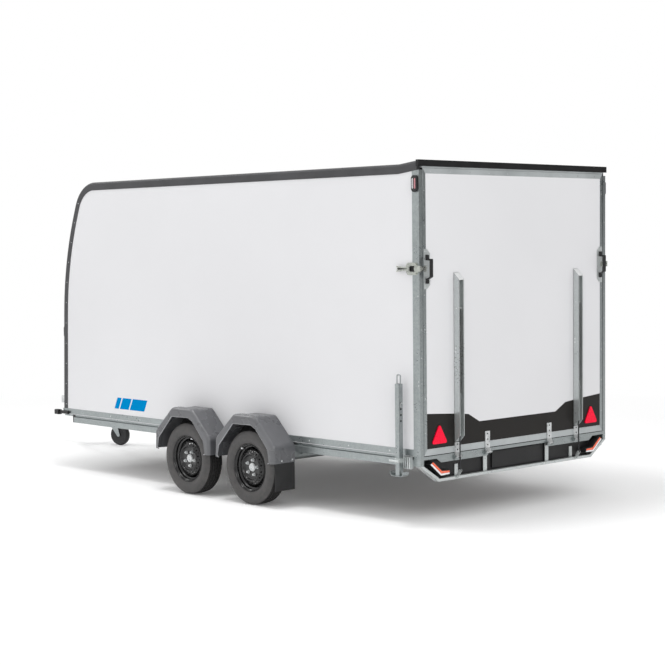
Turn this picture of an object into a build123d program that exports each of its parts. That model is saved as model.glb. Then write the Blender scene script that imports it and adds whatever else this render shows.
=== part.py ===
"""Twin-axle box trailer with a rear loading ramp, as separate sub-parts.

Millimetres. +X points forward to the coupling, +Y to the left, +Z up from the ground.
X is measured here from the rear face of the body; export() moves it so that the origin
is on the ground in the middle of the overall length.
"""
import math
import os

from build123d import *

# ---- overall sizes ----
BODY_LENGTH = 4380  # rear face to the foot of the front wall
BODY_WIDTH = 2100
ROOF_Z = 2517
RAIL_Z = 486  # top of the chassis, where walls and floor stand
DRAWBAR_REACH = 1570  # the coupling's front, ahead of the front wall's foot
GAP = 5  # around what opens
FIT = 0.05  # radial, on pins and spindles
SLIP = 0.4  # on sliding legs and clevises
SEAT = 0.3  # between a curved face and its neighbour

# ---- shell ----
PANEL_T = 28
SKIN_STEP = 3  # edge profiles and rail lips stand this far outside the wall
EDGE_WIDTH = 68  # of the edge profile, seen from the side
EDGE_DEPTH = 33
EDGE_LAP = 12  # wall held in the edge profile's slot
EDGE_ROUND = 20
FRONT_LEAN = 2.1  # degrees, lower part of the front wall
FRONT_RAKE = 22  # degrees, upper part of the front wall
KNEE_DROP = 677  # the front wall bends this far below the roof
KNEE_RADIUS = 2600
CROWN_RADIUS = 300
FLARE_LENGTH = 200  # the roof edge rises towards the rear lip
FLARE_RISE = 24
FLOOR_T = 18

# ---- chassis ----
RAIL_DEPTH = 71
RAIL_LIP = 50
RAIL_STEP = 20
RAIL_FLANGE = 45
STEEL_T = 3
RAIL_END = 128  # the rail's web stops short of the front wall
CAP_LENGTH = 35
MEMBER_DEPTH = 40
MEMBER_WIDTH = 50
MEMBER_COUNT = 9
ARM_DEPTH = 60
ARM_WIDTH = 40
ARM_INSET = 430  # straight part of the drawbar arms, from the body's side
ARM_BEND = 480  # behind the front wall's foot
ARM_TAIL = 350  # the arms reach this far behind the rear axle
ARM_APEX = 450  # behind the coupling's front
ARM_APEX_Y = 92

# ---- axles and wheels ----
REAR_AXLE_X = 1600
TYRE_RADIUS = 284
TYRE_WIDTH = 165
TYRE_GAP = 192  # between front and rear tyre
TYRE_OUT = 45  # from the body's side to the tyre's inner wall
SIDEWALL_BULGE = 52  # widest place, below the tread
TREAD_T = 11
WALL_T = 9
RIM_RADIUS = 177
RIM_HALF = 63
RIM_WELL = 140
RIM_T = 3
BEAD_DEPTH = 13
DISC_OFFSET = 30
HUB_RADIUS = 33
HUB_REACH = 27
STUD_CIRCLE = 56
STUDS = 5
STUD_HOLE = 7
VENTS = 16
VENT_CIRCLE = 114
VENT_RADIUS = 8
SPINDLE_RADIUS = 17
DRUM_RADIUS = 118
DRUM_T = 8
TORSION_LEAD = 160  # axle tube ahead of the hub
TORSION_DROP = 68  # axle tube below the drawbar arms
TUBE_FLATS = 84
TUBE_T = 4
SEAT_HALF = 70  # of the seat under each drawbar arm, along X
SWING_ARM_T = 30
SWING_ENDS = (48, 36)  # its radius at the axle tube and at the spindle
BACK_PLATE_T = 4
SPINDLE_SHORT = 14  # the spindle's end behind the wheel's disc
SWING_CLEAR = 12  # between the swing arm and the tyre

# ---- fenders ----
FENDER_T = 4
FENDER_WIDTH = 222
FENDER_AHEAD = 94  # of the tyre
FENDER_BEHIND = 16
FENDER_ABOVE = 108
FENDER_FOOT = 54  # open lower edge above the hub
FENDER_ROUND = 60
FENDER_RIDGE = 9  # raised band along the outer edge
RIDGE_WIDTH = 80
FENDER_SHOULDER = 28
OPENING_ROUND = 30
FLAP_T = 5
FLAP_WIDTH = 196
FLAP_BOTTOM = 130
FLAP_LAP = 40

# ---- rear end ----
POST_WIDTH = 33
POST_DEPTH = 65
POST_DROP = 67  # its foot below the rail's top
HEADER_DEPTH = 60
HEADER_DROP = 67  # its lower face below the roof
HEADER_HEIGHT = 48
LIP_T = 6
LIP_LENGTH = 20
LIP_OVER = 8
SILL_DEPTH = 60
SILL_HEIGHTS = (54, 23)  # where it is deep, and at its ends and middle
SILL_END = 209  # the deep part ends this far inside the body's side
BUMPER_DEPTH = 45
BUMPER_T = 20
BUMPER_DROP = 188
BUMPER_SLANT = 184  # across, of the bar's slanted ends
BUMPER_WALL = 35  # across, where the slanted ends meet the posts
INFILL_T = 4
INFILL_SET = 36
PLATE_HALF = 270
PLATE_T = 12
BRACKET_T = 5
INNER_BRACKET = (20, 40, 10)  # set in, width, top below the rail's top
OUTER_BRACKET = (30, 34, 86)
OUTER_BRACKET_IN = 24  # from the strut's plane
LAMP_REACH = 22  # lamps stand out behind the body by this much
LAMP_OUTLINE = ((113, 133), (77, 154), (-9, 85), (-92, 79), (-97, 47), (2, 43))  # from the bar's corner
MARKER_X = (5, 60)
MARKER_DROP = 139  # its middle below the roof
MARKER_HEIGHT = 116
MARKER_ROUND = 24
MARKER_T = 18
MARKER_HEAD = (62, 42, 44)  # front marker's head: length, width, height
MARKER_AHEAD = 96  # of the front wall's foot
MARKER_ARM = 191
ARM_MARKER_T = 28

# ---- ramp ----
RAMP_T = 30
RAMP_FRAME = 45
RAMP_SKIN_T = 22
RAMP_LAP = 4
RAMP_SLOT = 12
HINGE_KNUCKLE = 9
HINGE_CLEAR = 3  # between knuckle and ramp
HINGE_DROP = 26
HINGE_PIN = 4
HINGE_EAR = 13  # each ear of the sill, beside the strap
INNER_HINGE_Y = 352
STRAP_WIDTH = 50
STRAP_T = 6
INNER_STRAP = 150
OUTER_STRAP = 100
REFLECTOR_HEIGHT = 127  # above the rail's top
REFLECTOR_INSET = 190
REFLECTOR_SIDE = 160
REFLECTOR_T = 7
REFLECTOR_ROUND = 12

# ---- gas struts and their channels ----
CHANNEL_INSET = 374  # from the body's side
CHANNEL_WIDTH = 50
CHANNEL_DEPTH = 52
CHANNEL_T = 3
CHANNEL_FOOT = 79  # above the rail's top
CHANNEL_LENGTH = 1198
CHANNEL_TAPER = 45
CHANNEL_LIP = 12  # its depth at the tapered foot
STRUT_TOP_X = -25
STRUT_TOP_RISE = 1024
STRUT_FOOT_X = -30
STRUT_FOOT_RISE = 62  # above the bumper bar's lower face
STRUT_CLEAR = 2  # beside the cylinder in the channel's slot
CYLINDER_LENGTH = 600
CYLINDER_RADIUS = 11
CYLINDER_T = 2
ROD_RADIUS = 5
ROD_INSIDE = 45
EYE_RADIUS = 9
EYE_WIDTH = 10
STRUT_PIN = 4

# ---- latches and handles ----
LATCH_RISE = 1307  # above the rail's top
LATCH_X = (6, 131)
LATCH_HALF = 44
LATCH_TIP = 85  # the lever's fork, ahead of the base
LATCH_PIN = 70  # ahead of the base's edge
LATCH_OUT = 18  # from the post to the lever's pin
HOOK_RADIUS = 3.5
HOOK_X = -12
HOOK_HALF = 18
HANDLE_STAND = 52  # rear face of the grip
HANDLE_GRIP = 13
HANDLE_WIDTH = 26
HANDLE_INSET = 34  # middle of the grip, from the ramp's side
HANDLE_LENGTH = 200
HANDLE_BELOW = 4  # its middle below the latch
HANDLE_PAD = 35
HANDLE_PLATE_T = 3
HANDLE_PLATE_EDGE = 6  # from the ramp's side
HANDLE_PLATE_WIDTH = 62
HANDLE_PLATE_OVER = (38, 39)  # beyond the grip, below and above
HANDLE_PLATE_CUT = 30
FRONT_HANDLE_INSET = 65
FRONT_HANDLE_Z = (1150, 1270)
FRONT_HANDLE_OUT = 72
FRONT_HANDLE_RADIUS = 9

# ---- legs ----
LEG_X = 158
LEG_OUT = 50  # from the body's side to the leg's axis
LEG_SIZE = 38
LEG_WALL = 3
LEG_DROP = 104  # the tube's foot below the rail's top
LEG_LENGTH = 613
LEG_HOLES = (134, 42, 4)  # first below the top, pitch, count
LEG_HOLE_RADIUS = 6
LOOP_HEIGHT = 67
LOOP_RADIUS = 4.5
LOOP_BEND = 12
FOOT_HALF = 62
FOOT_BEND = 44
FOOT_WIDTH = 60
FOOT_RISE = 34
FOOT_T = 4
CLAMP_SPAN = (42, 12)  # below the rail's top, down to and from
CLAMP_T = 5
CLAMP_BODY = (84, 2)
CLAMP_REACH = 85  # bracket behind the leg
CLAMP_DEPTH = 34
CLAMP_PLATE = 6
CLAMP_RIBS = (9, 17, 3)  # first groove, pitch, count
CLAMP_GROOVE = 8
CLAMP_SCREW = 7
CLAMP_BAR = (45, 8)  # half length, radius

# ---- drawbar fittings ----
COUPLING_RISE = 44  # shaft above the arms' lower face
BALL_SOCKET = 25.25
BALL_DEPTH = 12
BALL_BACK = 50  # behind the coupling's front
HEAD_LENGTH = 150  # behind the ball
HEAD_HALF = 34
SHAFT_RADIUS = 25
HOUSING_HALF = 48
HOUSING_REACH = (190, 60)  # behind and ahead of the arms' apex
PLATE_CLEAR = 1.6  # from the housing's foot plate to the jockey wheel's bracket
BELLOWS_FOLDS = 6
BELLOWS_DEPTH = (10, 19)
JOCKEY_BACK = 120  # behind the arms' apex
JOCKEY_REACH = 42  # of the bracket between drawbar arm and tube
JOCKEY_TUBE = 24
JOCKEY_WALL = 4
JOCKEY_DROP = 56  # the tube's foot below the arms
JOCKEY_LENGTH = 450
JOCKEY_WHEEL_RADIUS = 104
JOCKEY_WHEEL_WIDTH = 60
JOCKEY_AXLE = 6
JOCKEY_TRAIL = 85
JOCKEY_TURN = 20  # degrees, how the wheel has castored where it stands
FORK_CLEAR = 12  # between the wheel and the fork's crown
FORK_T = 4

half_width = BODY_WIDTH / 2
wall_out = half_width - SKIN_STEP
wall_in = wall_out - PANEL_T
edge_in = half_width - EDGE_DEPTH
knee_z = ROOF_Z - KNEE_DROP
frame_bottom = RAIL_Z - RAIL_DEPTH
nose_x = BODY_LENGTH + DRAWBAR_REACH
arm_top = RAIL_Z - MEMBER_DEPTH
arm_bottom = arm_top - ARM_DEPTH
arm_out = half_width - ARM_INSET
arm_bend_x = BODY_LENGTH - ARM_BEND
arm_tail_x = REAR_AXLE_X - ARM_TAIL
arm_apex_x = nose_x - ARM_APEX
ball_x = nose_x - BALL_BACK
jockey_x = arm_apex_x - JOCKEY_BACK
coupling_z = arm_bottom + COUPLING_RISE
track = BODY_WIDTH + 2 * TYRE_OUT + TYRE_WIDTH
torsion_z = arm_bottom - TORSION_DROP
axles = (REAR_AXLE_X, REAR_AXLE_X + 2 * TYRE_RADIUS + TYRE_GAP)
fender_low = TYRE_RADIUS + FENDER_FOOT
post_in = half_width - POST_WIDTH
post_foot_z = RAIL_Z - POST_DROP
header_z = ROOF_Z - HEADER_DROP
sill_low, sill_high = (RAIL_Z - drop for drop in SILL_HEIGHTS)
bumper_z = RAIL_Z - BUMPER_DROP
bumper_flat = half_width - BUMPER_SLANT
rear_side = half_width - max(POST_WIDTH, EDGE_DEPTH)
ramp_side = post_in - GAP
channel_y = half_width - CHANNEL_INSET
channel_z = (RAIL_Z + CHANNEL_FOOT, RAIL_Z + CHANNEL_FOOT + CHANNEL_LENGTH)
hinge_x = -HINGE_KNUCKLE - HINGE_CLEAR
hinge_z = RAIL_Z - HINGE_DROP
hinges = ((INNER_HINGE_Y, INNER_STRAP), (channel_y, OUTER_STRAP))
strut_top_z = RAIL_Z + STRUT_TOP_RISE
strut_foot_z = bumper_z + STRUT_FOOT_RISE
latch_z = RAIL_Z + LATCH_RISE
leg_y = half_width + LEG_OUT
leg_z = (RAIL_Z - LEG_DROP, RAIL_Z - LEG_DROP + LEG_LENGTH)
rear_end_x = -HANDLE_STAND
middle_x = (nose_x + rear_end_x) / 2
nodes = {}


def block(x, y, z):
    """A box between two limits on each axis."""
    size = [abs(b - a) for a, b in (x, y, z)]
    centre = [(a + b) / 2 for a, b in (x, y, z)]
    return Pos(*centre) * Box(*size)


def across(face, y0, y1):
    """A face drawn in X and Z, as thick as y0 to y1."""
    return extrude(Plane((0, y1, 0), x_dir=(1, 0, 0), z_dir=(0, -1, 0)) * face, y1 - y0)


def along(face, x0, x1):
    """A face drawn in Y and Z, running from x0 to x1."""
    return extrude(Plane((x0, 0, 0), x_dir=(0, 1, 0), z_dir=(1, 0, 0)) * face, x1 - x0)


def upward(face, z0, z1):
    return Pos(0, 0, z0) * extrude(face, z1 - z0)


def polygon(*points):
    return make_face(Polyline(*points, close=True))


def rod_between(start, end, radius):
    """A round bar from one point to another."""
    path = Vector(*end) - Vector(*start)
    plane = Plane(origin=start, z_dir=path)
    return extrude(plane * Circle(radius), path.length)


def lathe(*points):
    """A profile of (radius, distance) turned about the Y axis."""
    return revolve(polygon(*points), Axis.Y)


def both_sides(shape):
    return Compound(children=[*shape.solids(), *mirror(shape, Plane.XZ).solids()])


def group(shapes):
    return Compound(children=[solid for shape in shapes for solid in shape.solids()])


# ---- shell ----
def moved_in(corners, inset):
    """Corners of a closed outline that runs anticlockwise, with each side moved inwards."""
    moved = []
    for i, corner in enumerate(corners):
        following = corners[(i + 1) % len(corners)]
        before = (corner - corners[i - 1]).normalized().rotate(Axis.Z, 90)
        after = (following - corner).normalized().rotate(Axis.Z, 90)
        moved.append(corner + (before + after) * (inset / (1 + before.dot(after))))
    return moved


def outline(inset):
    """The shell's side view, moved inwards, reaching below and behind the body."""
    spare = 600
    knee_x = BODY_LENGTH - math.tan(math.radians(FRONT_LEAN)) * (knee_z - RAIL_Z)
    crown_x = knee_x - math.tan(math.radians(FRONT_RAKE)) * (ROOF_Z - knee_z)
    foot_x = BODY_LENGTH + math.tan(math.radians(FRONT_LEAN)) * spare
    corners = (
        Vector(foot_x, RAIL_Z - spare),
        Vector(knee_x, knee_z),
        Vector(crown_x, ROOF_Z),
        Vector(FLARE_LENGTH, ROOF_Z),
        Vector(0, ROOF_Z + FLARE_RISE),
        Vector(-spare, ROOF_Z + FLARE_RISE),
        Vector(-spare, RAIL_Z - spare),
    )
    corners = moved_in(corners, inset)
    nose = FilletPolyline(*corners[:4], radius=(KNEE_RADIUS - inset, CROWN_RADIUS - inset))
    rest = Polyline(*corners[3:], corners[0])
    return make_face([*nose.edges(), *rest.edges()])


def window(x0, x1, z0, z1):
    return polygon((x0, z0), (x1, z0), (x1, z1), (x0, z1))


def edge_band():
    far = BODY_LENGTH + EDGE_WIDTH
    high = ROOF_Z + EDGE_WIDTH
    band = outline(0) - outline(EDGE_WIDTH)
    return band & window(LIP_LENGTH, far, RAIL_Z + RAIL_LIP, high)


def build_walls():
    far = BODY_LENGTH + EDGE_WIDTH
    high = ROOF_Z + EDGE_WIDTH
    slot = EDGE_WIDTH - EDGE_LAP
    wall = across(outline(slot) & window(POST_DEPTH, far, RAIL_Z, high), wall_in, wall_out)
    foot = outline(0) - outline(slot)
    foot = foot & window(BODY_LENGTH / 2, far, RAIL_Z, RAIL_Z + RAIL_LIP)
    wall += across(foot, wall_in, wall_out)
    edge = across(edge_band(), edge_in, half_width) - wall
    outer = edge.edges().filter_by_position(Axis.Y, half_width - 1, half_width + 1)
    rim = outer.filter_by(on_rim)
    edge = fillet(rim, EDGE_ROUND)
    nodes["side_walls"] = both_sides(wall)
    nodes["edge_profiles"] = both_sides(edge)
    skin = outline(0) - outline(PANEL_T)
    crown_end = BODY_LENGTH - crown_setback()
    roof = skin & window(LIP_LENGTH, crown_end, ROOF_Z / 2, high)
    front = skin & window(crown_end, far, RAIL_Z, high)
    nodes["roof"] = across(roof, -edge_in, edge_in)
    nodes["front_wall"] = across(front, -edge_in, edge_in)
    floor_front = BODY_LENGTH - PANEL_T - FLOOR_T
    floor_side = half_width - POST_WIDTH
    floor_z = (RAIL_Z, RAIL_Z + FLOOR_T)
    nodes["floor"] = block((RAMP_T + GAP, floor_front), (-floor_side, floor_side), floor_z)


def crown_setback():
    """How far behind the front wall's foot the roof's flat part begins."""
    lean = math.tan(math.radians(FRONT_LEAN)) * (knee_z - RAIL_Z)
    rake = math.tan(math.radians(FRONT_RAKE)) * (ROOF_Z - knee_z)
    return lean + rake + CROWN_RADIUS * math.tan(math.radians(90 - FRONT_RAKE) / 2)


def on_rim(edge):
    """True for edges on the outer outline, not on the band's inner edge or ends."""
    middle = edge @ 0.5
    inside = outline(EDGE_WIDTH / 2)
    return edge.length > EDGE_WIDTH + 1 and not inside.is_inside(Vector(middle.X, middle.Z, 0))


# ---- chassis ----
def rail_section():
    t = STEEL_T
    web = half_width - RAIL_STEP
    inner = web - RAIL_FLANGE
    top = RAIL_Z
    return polygon(
        (half_width, top + RAIL_LIP),
        (wall_out, top + RAIL_LIP),
        (wall_out, top),
        (inner, top),
        (inner, top - t),
        (web - t, top - t),
        (web - t, frame_bottom + t),
        (inner, frame_bottom + t),
        (inner, frame_bottom),
        (web, frame_bottom),
        (web, top - t),
        (half_width, top - t),
    )


def build_chassis():
    t = STEEL_T
    rail = along(rail_section(), POST_DEPTH, BODY_LENGTH)
    web_end = BODY_LENGTH - RAIL_END
    rail -= block((web_end, BODY_LENGTH + 1), (0, half_width + 1), (frame_bottom - 1, RAIL_Z - t))
    nodes["side_rails"] = both_sides(rail)
    lip = block((BODY_LENGTH, BODY_LENGTH + t), (-wall_in, wall_in), (RAIL_Z - t, RAIL_Z + RAIL_LIP))
    inner = half_width - RAIL_STEP - RAIL_FLANGE
    shelf = block((web_end, BODY_LENGTH), (-inner, inner), (RAIL_Z - t, RAIL_Z))
    web = block((web_end, web_end + t), (-inner, inner), (frame_bottom, RAIL_Z))
    members = []
    first = SILL_DEPTH + MEMBER_WIDTH
    pitch = (web_end - MEMBER_WIDTH - first) / (MEMBER_COUNT - 1)
    span = half_width - RAIL_STEP - t
    channel = block((0, MEMBER_WIDTH), (-span, span), (arm_top, RAIL_Z))
    channel -= block((-1, MEMBER_WIDTH - t), (-span, span), (arm_top + t, RAIL_Z - t))
    for side in (1, -1):
        edge = sorted((side * inner, side * (span + 1)))
        channel -= block((-1, MEMBER_WIDTH + 1), edge, (RAIL_Z - t, RAIL_Z + 1))
    for i in range(MEMBER_COUNT):
        members.append(Pos(first + i * pitch, 0, 0) * channel)
    nodes["crossmembers"] = group(members)
    arm = bent_band(0, ARM_WIDTH)
    bar = upward(arm, arm_bottom, arm_bottom + t) + upward(arm, arm_top - t, arm_top)
    bar += upward(bent_band(0, t), arm_bottom, arm_top)
    nodes["drawbar_arms"] = both_sides(bar)
    arms = both_sides(upward(bent_band(0, ARM_WIDTH), arm_bottom, arm_top))
    nodes["front_rail"] = shelf + lip + (web - arms)
    outside = half_width - RAIL_STEP
    cap = block((web_end - CAP_LENGTH, web_end), (outside, outside + t), (frame_bottom - t, RAIL_Z - t))
    end = block((web_end, web_end + t), (inner, outside + t), (frame_bottom - t, RAIL_Z - t))
    nodes["rail_caps"] = both_sides(cap + end)


def bent_band(near, far):
    """Plan of a drawbar arm: a band beside its outer edge line, which bends once."""
    dx = arm_apex_x - arm_bend_x
    dy = arm_out - ARM_APEX_Y
    angle = math.atan2(dy, dx)
    rows = []
    for d in (near, far):
        rows.append(
            (
                (arm_tail_x, arm_out - d),
                (arm_bend_x - d * math.tan(angle / 2), arm_out - d),
                (arm_apex_x - d * math.sin(angle), ARM_APEX_Y - d * math.cos(angle)),
            )
        )
    return polygon(*rows[0], *reversed(rows[1]))


# ---- axles, hubs and wheels ----
def build_axles():
    tubes = []
    arms = []
    arm_y = half_width + TYRE_OUT - SWING_CLEAR - SWING_ARM_T
    for x in axles:
        hexagon = RegularPolygon(TUBE_FLATS / 2, 6, major_radius=False, rotation=30)
        bore = RegularPolygon(TUBE_FLATS / 2 - TUBE_T, 6, major_radius=False, rotation=30)
        centre = Pos(x + TORSION_LEAD, torsion_z)
        tube = across(centre * (hexagon - bore), -arm_y, arm_y)
        for side in (1, -1):
            inner = side * (arm_out - ARM_WIDTH)
            seat = block(
                (x + TORSION_LEAD - SEAT_HALF, x + TORSION_LEAD + SEAT_HALF),
                sorted((inner, side * arm_out)),
                (torsion_z, arm_bottom),
            )
            tube += seat - across(centre * hexagon, -arm_y, arm_y)
        tubes.append(tube)
        arms.append(swing_arm(x, arm_y))
    nodes["axle_tubes"] = group(tubes)
    nodes["swing_arms"] = both_sides(group(arms))


def swing_arm(x, arm_y):
    """Trailing arm on the tube's end, with the spindle and the brake's back plate."""
    web = make_hull(
        [
            *(Pos(x + TORSION_LEAD, torsion_z) * Circle(SWING_ENDS[0])).edges(),
            *(Pos(x, TYRE_RADIUS) * Circle(SWING_ENDS[1])).edges(),
        ]
    )
    arm = across(web, arm_y, arm_y + SWING_ARM_T)
    back = arm_y + SWING_ARM_T
    plate = DRUM_RADIUS - 6
    hub = Pos(x, back, TYRE_RADIUS)
    arm += hub * lathe((0, 0), (plate, 0), (plate, BACK_PLATE_T), (0, BACK_PLATE_T))
    length = track / 2 + DISC_OFFSET - back - SPINDLE_SHORT
    arm += hub * lathe((0, 0), (SPINDLE_RADIUS, 0), (SPINDLE_RADIUS, length), (0, length))
    return arm


def drum_shape():
    """Hub and brake drum in one casting; distances are outward from the wheel's plane."""
    start = half_width + TYRE_OUT - SWING_CLEAR + BACK_PLATE_T + GAP - track / 2
    face = DISC_OFFSET
    bore = SPINDLE_RADIUS + FIT
    boss = bore + SPINDLE_SHORT
    inside = DRUM_RADIUS - DRUM_T
    tip = face - SPINDLE_SHORT + GAP
    cap = face + HUB_REACH
    return lathe(
        (bore, start),
        (boss, start),
        (boss, face - SPINDLE_SHORT),
        (inside, face - SPINDLE_SHORT),
        (inside, start),
        (DRUM_RADIUS, start),
        (DRUM_RADIUS, face - DRUM_T),
        (76, face),
        (HUB_RADIUS, face),
        (HUB_RADIUS, cap - GAP),
        (HUB_RADIUS - GAP, cap),
        (0, cap),
        (0, tip),
        (bore, tip),
    )


def rim_shape():
    """Pressed steel disc wheel: barrel with two flanges, dished disc, vents and stud holes."""
    half = RIM_HALF
    t = RIM_T
    seat = RIM_RADIUS - BEAD_DEPTH
    well = RIM_WELL
    edge = half - BEAD_DEPTH
    barrel = lathe(
        (RIM_RADIUS, half),
        (RIM_RADIUS - t, half),
        (RIM_RADIUS - t, half - 2 * t),
        (seat - t, edge + t),
        (seat - 5, 34),
        (well - t, 22),
        (well - t, -22),
        (seat - 5, -38),
        (seat - t, -edge - t),
        (RIM_RADIUS - t, 2 * t - half),
        (RIM_RADIUS - t, -half),
        (RIM_RADIUS, -half),
        (RIM_RADIUS, 4 - half),
        (seat, -edge),
        (seat - 2, -36),
        (well, -24),
        (well, 24),
        (seat - 2, 36),
        (seat, edge),
        (RIM_RADIUS, half - 4),
    )
    face = DISC_OFFSET
    bore = HUB_RADIUS + SEAT
    disc = lathe(
        (bore, face + SEAT),
        (80, face + SEAT),
        (98, face + 12),
        (118, face + 8),
        (well - t, face - 16),
        (well - t, face - 11),
        (121, face + 13),
        (97, face + 17),
        (78, face + 5),
        (bore, face + 5),
    )
    vent = rod_between((VENT_CIRCLE, 0, 0), (VENT_CIRCLE, 80, 0), VENT_RADIUS)
    stud = across(Pos(STUD_CIRCLE, 0) * Circle(STUD_HOLE), face, face + 6)
    for i in range(VENTS):
        disc -= Rot(0, i * 360 / VENTS, 0) * vent
    for i in range(STUDS):
        disc -= Rot(0, i * 360 / STUDS, 0) * stud
    return barrel + disc


def tyre_shape():
    """Hollow road tyre: crowned tread, bulged walls, beads against the rim's flanges."""
    half = TYRE_WIDTH / 2
    seat = RIM_RADIUS - BEAD_DEPTH + SEAT
    lip = RIM_RADIUS + SEAT
    flange = RIM_HALF
    toe = flange - BEAD_DEPTH
    bulge = TYRE_RADIUS - SIDEWALL_BULGE
    shoulder = (TYRE_RADIUS - 5, half - 20)
    below = (shoulder[0], -shoulder[1])
    outer = [
        ThreePointArc((lip, flange), (bulge, half), shoulder),
        ThreePointArc(shoulder, (TYRE_RADIUS, 0), below),
        ThreePointArc(below, (bulge, -half), (lip, -flange)),
    ]
    bead = Polyline(
        (lip, -flange), (lip, -toe - 8.4), (seat, 0.6 - toe),
        (seat, toe - 0.6), (lip, toe + 8.4), (lip, flange),
    )
    ring = make_face([*outer, *bead.edges()])
    depth = TYRE_RADIUS - TREAD_T
    corner = (depth - 4, half - 34)
    lower = (corner[0], -corner[1])
    cavity = make_face(
        [
            ThreePointArc((seat - 1, 34), (bulge - 6, half - WALL_T), corner),
            ThreePointArc(corner, (depth, 0), lower),
            ThreePointArc(lower, (bulge - 6, WALL_T - half), (seat - 1, -34)),
            Line((seat - 1, -34), (seat - 1, 34)),
        ]
    )
    return revolve(ring - cavity, Axis.Y)


def build_wheels():
    parts = {"tyre": tyre_shape(), "rim": rim_shape(), "hub_drum": drum_shape()}
    for end, x in zip(("rear", "front"), axles):
        for side, name in ((1, "left"), (-1, "right")):
            turned = Rot(0, 0, 0 if side > 0 else 180)
            place = Pos(x, side * track / 2, TYRE_RADIUS)
            for kind, shape in parts.items():
                nodes[f"{kind}_{end}_{name}"] = place * turned * shape


# ---- fenders ----
def fender_arch():
    """Corners of the fender about its wheel, from the front foot over the top to the rear foot."""
    front = TYRE_RADIUS + FENDER_AHEAD
    back = -TYRE_RADIUS - FENDER_BEHIND
    top = 2 * TYRE_RADIUS + FENDER_ABOVE
    foot = fender_low - 58
    arch = (front - 8, top - 192), (front - 220, top), (back + 215, top), (back, top - 210)
    return (front, foot), *arch, (back, foot)


def fender_opening():
    """Corners of the opening in the fender's outer wall, set in from the arch."""
    front, _, _, _, back, foot = fender_arch()
    top = 2 * TYRE_RADIUS + FENDER_ABOVE
    return (
        (front[0] - 16, front[1]),
        (front[0] - 42, top - 246),
        (front[0] - 218, top - 64),
        (back[0] + 250, top - 59),
        (back[0] + 195, top - 84),
        (back[0] + 62, top - 226),
        (foot[0] + 34, foot[1]),
    )


def fender_face(points, rounding, grow, low):
    """An arch with rounded corners, made larger or smaller all round and cut level at its foot."""
    face = polygon(*points)
    corners = [v for v in face.vertices() if v.Y > fender_low]
    face = fillet(corners, rounding)
    if grow:
        face = offset(face, grow)
    return face & window(-BODY_LENGTH / 2, BODY_LENGTH / 2, low, ROOF_Z)


def arch_body(shrink, inside, outside, low):
    """The fender's outer form, or its hollow: plain over the wheel, raised and rounded at the rim."""
    arch = fender_arch()
    plain = across(fender_face(arch, FENDER_ROUND, -shrink, low), inside, outside - RIDGE_WIDTH / 2)
    ridge_face = fender_face(arch, FENDER_ROUND, FENDER_RIDGE - shrink, low)
    ridge = across(ridge_face, outside - RIDGE_WIDTH + 2 * shrink, outside)
    rim = ridge.faces().sort_by(Axis.Y)[-1].edges()
    rim = [e for e in rim if (e @ 0.5).Z > low + 1]
    return fillet(rim, FENDER_SHOULDER - shrink) + plain


def build_fenders():
    outside = half_width + SKIN_STEP + FENDER_WIDTH
    inside = half_width + SEAT
    below = fender_low - 10
    shell = arch_body(0, inside, outside, fender_low)
    shell -= arch_body(FENDER_T, inside - 1, outside - FENDER_T, below)
    opening = fender_face(fender_opening(), OPENING_ROUND, 0, below)
    shell -= across(opening, outside - FENDER_T - 1, outside + 1)
    nodes["fenders"] = both_sides(group([Pos(x, 0, 0) * shell for x in axles]))
    back = axles[0] + fender_arch()[-1][0] + FENDER_T
    side = (outside - FENDER_SHOULDER - FLAP_WIDTH, outside - FENDER_SHOULDER)
    nodes["mud_flaps"] = both_sides(block((back, back + FLAP_T), side, (FLAP_BOTTOM, fender_low + FLAP_LAP)))


# ---- rear end ----
def build_rear():
    post = block((0, POST_DEPTH), (post_in, half_width), (post_foot_z, ROOF_Z))
    above = outline(EDGE_WIDTH) & window(-1, POST_DEPTH + 1, post_foot_z - 1, ROOF_Z)
    post &= across(above, post_in, half_width)
    nodes["rear_posts"] = both_sides(post)
    header_top = header_z + HEADER_HEIGHT
    nodes["rear_header"] = block((0, HEADER_DEPTH), (-rear_side, rear_side), (header_z, header_top))
    lip_top = ROOF_Z + FLARE_RISE + 1
    lip = block((-LIP_T, LIP_LENGTH), (-half_width - LIP_OVER, half_width + LIP_OVER), (header_top, lip_top))
    nodes["roof_rear_lip"] = lip
    build_sill()
    build_bumper()
    build_lamps()


def build_sill():
    """Stepped sill under the ramp, with the fixed halves of its hinges."""
    t = STEEL_T
    step = sill_high - sill_low
    start = INNER_HINGE_Y - 2
    end = half_width - SILL_END
    half = [
        (0, RAIL_Z),
        (post_in, RAIL_Z),
        (post_in, sill_high),
        (end + step * 1.5, sill_high),
        (end, sill_low),
        (start, sill_low),
        (start - step, sill_high),
        (0, sill_high),
    ]
    mirrored = [(-y, z) for y, z in reversed(half[1:-1])]
    sill = along(polygon(*half, *mirrored), 0, t)
    sill += block((0, SILL_DEPTH), (-post_in, post_in), (RAIL_Z - t, RAIL_Z))
    sill += block((SILL_DEPTH - t, SILL_DEPTH), (-post_in, post_in), (frame_bottom, RAIL_Z))
    for y, _ in hinges:
        for centre in (y, -y):
            sill += hinge_ears(centre)
    nodes["rear_sill"] = sill


def hinge_ears(y):
    """The sill's half of a hinge: two ears with the pin between them."""
    half = STRAP_WIDTH / 2
    axis = Pos(hinge_x, hinge_z)
    foot = window(-1, 1, hinge_z - 2 * HINGE_KNUCKLE, hinge_z + HINGE_KNUCKLE)
    ear = make_hull([*(axis * Circle(HINGE_KNUCKLE)).edges(), *foot.edges()])
    ears = across(ear, y - half - HINGE_EAR, y - half - SLIP)
    ears += across(ear, y + half + SLIP, y + half + HINGE_EAR)
    return ears + across(axis * Circle(HINGE_PIN), y - half - 1, y + half + 1)


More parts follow.
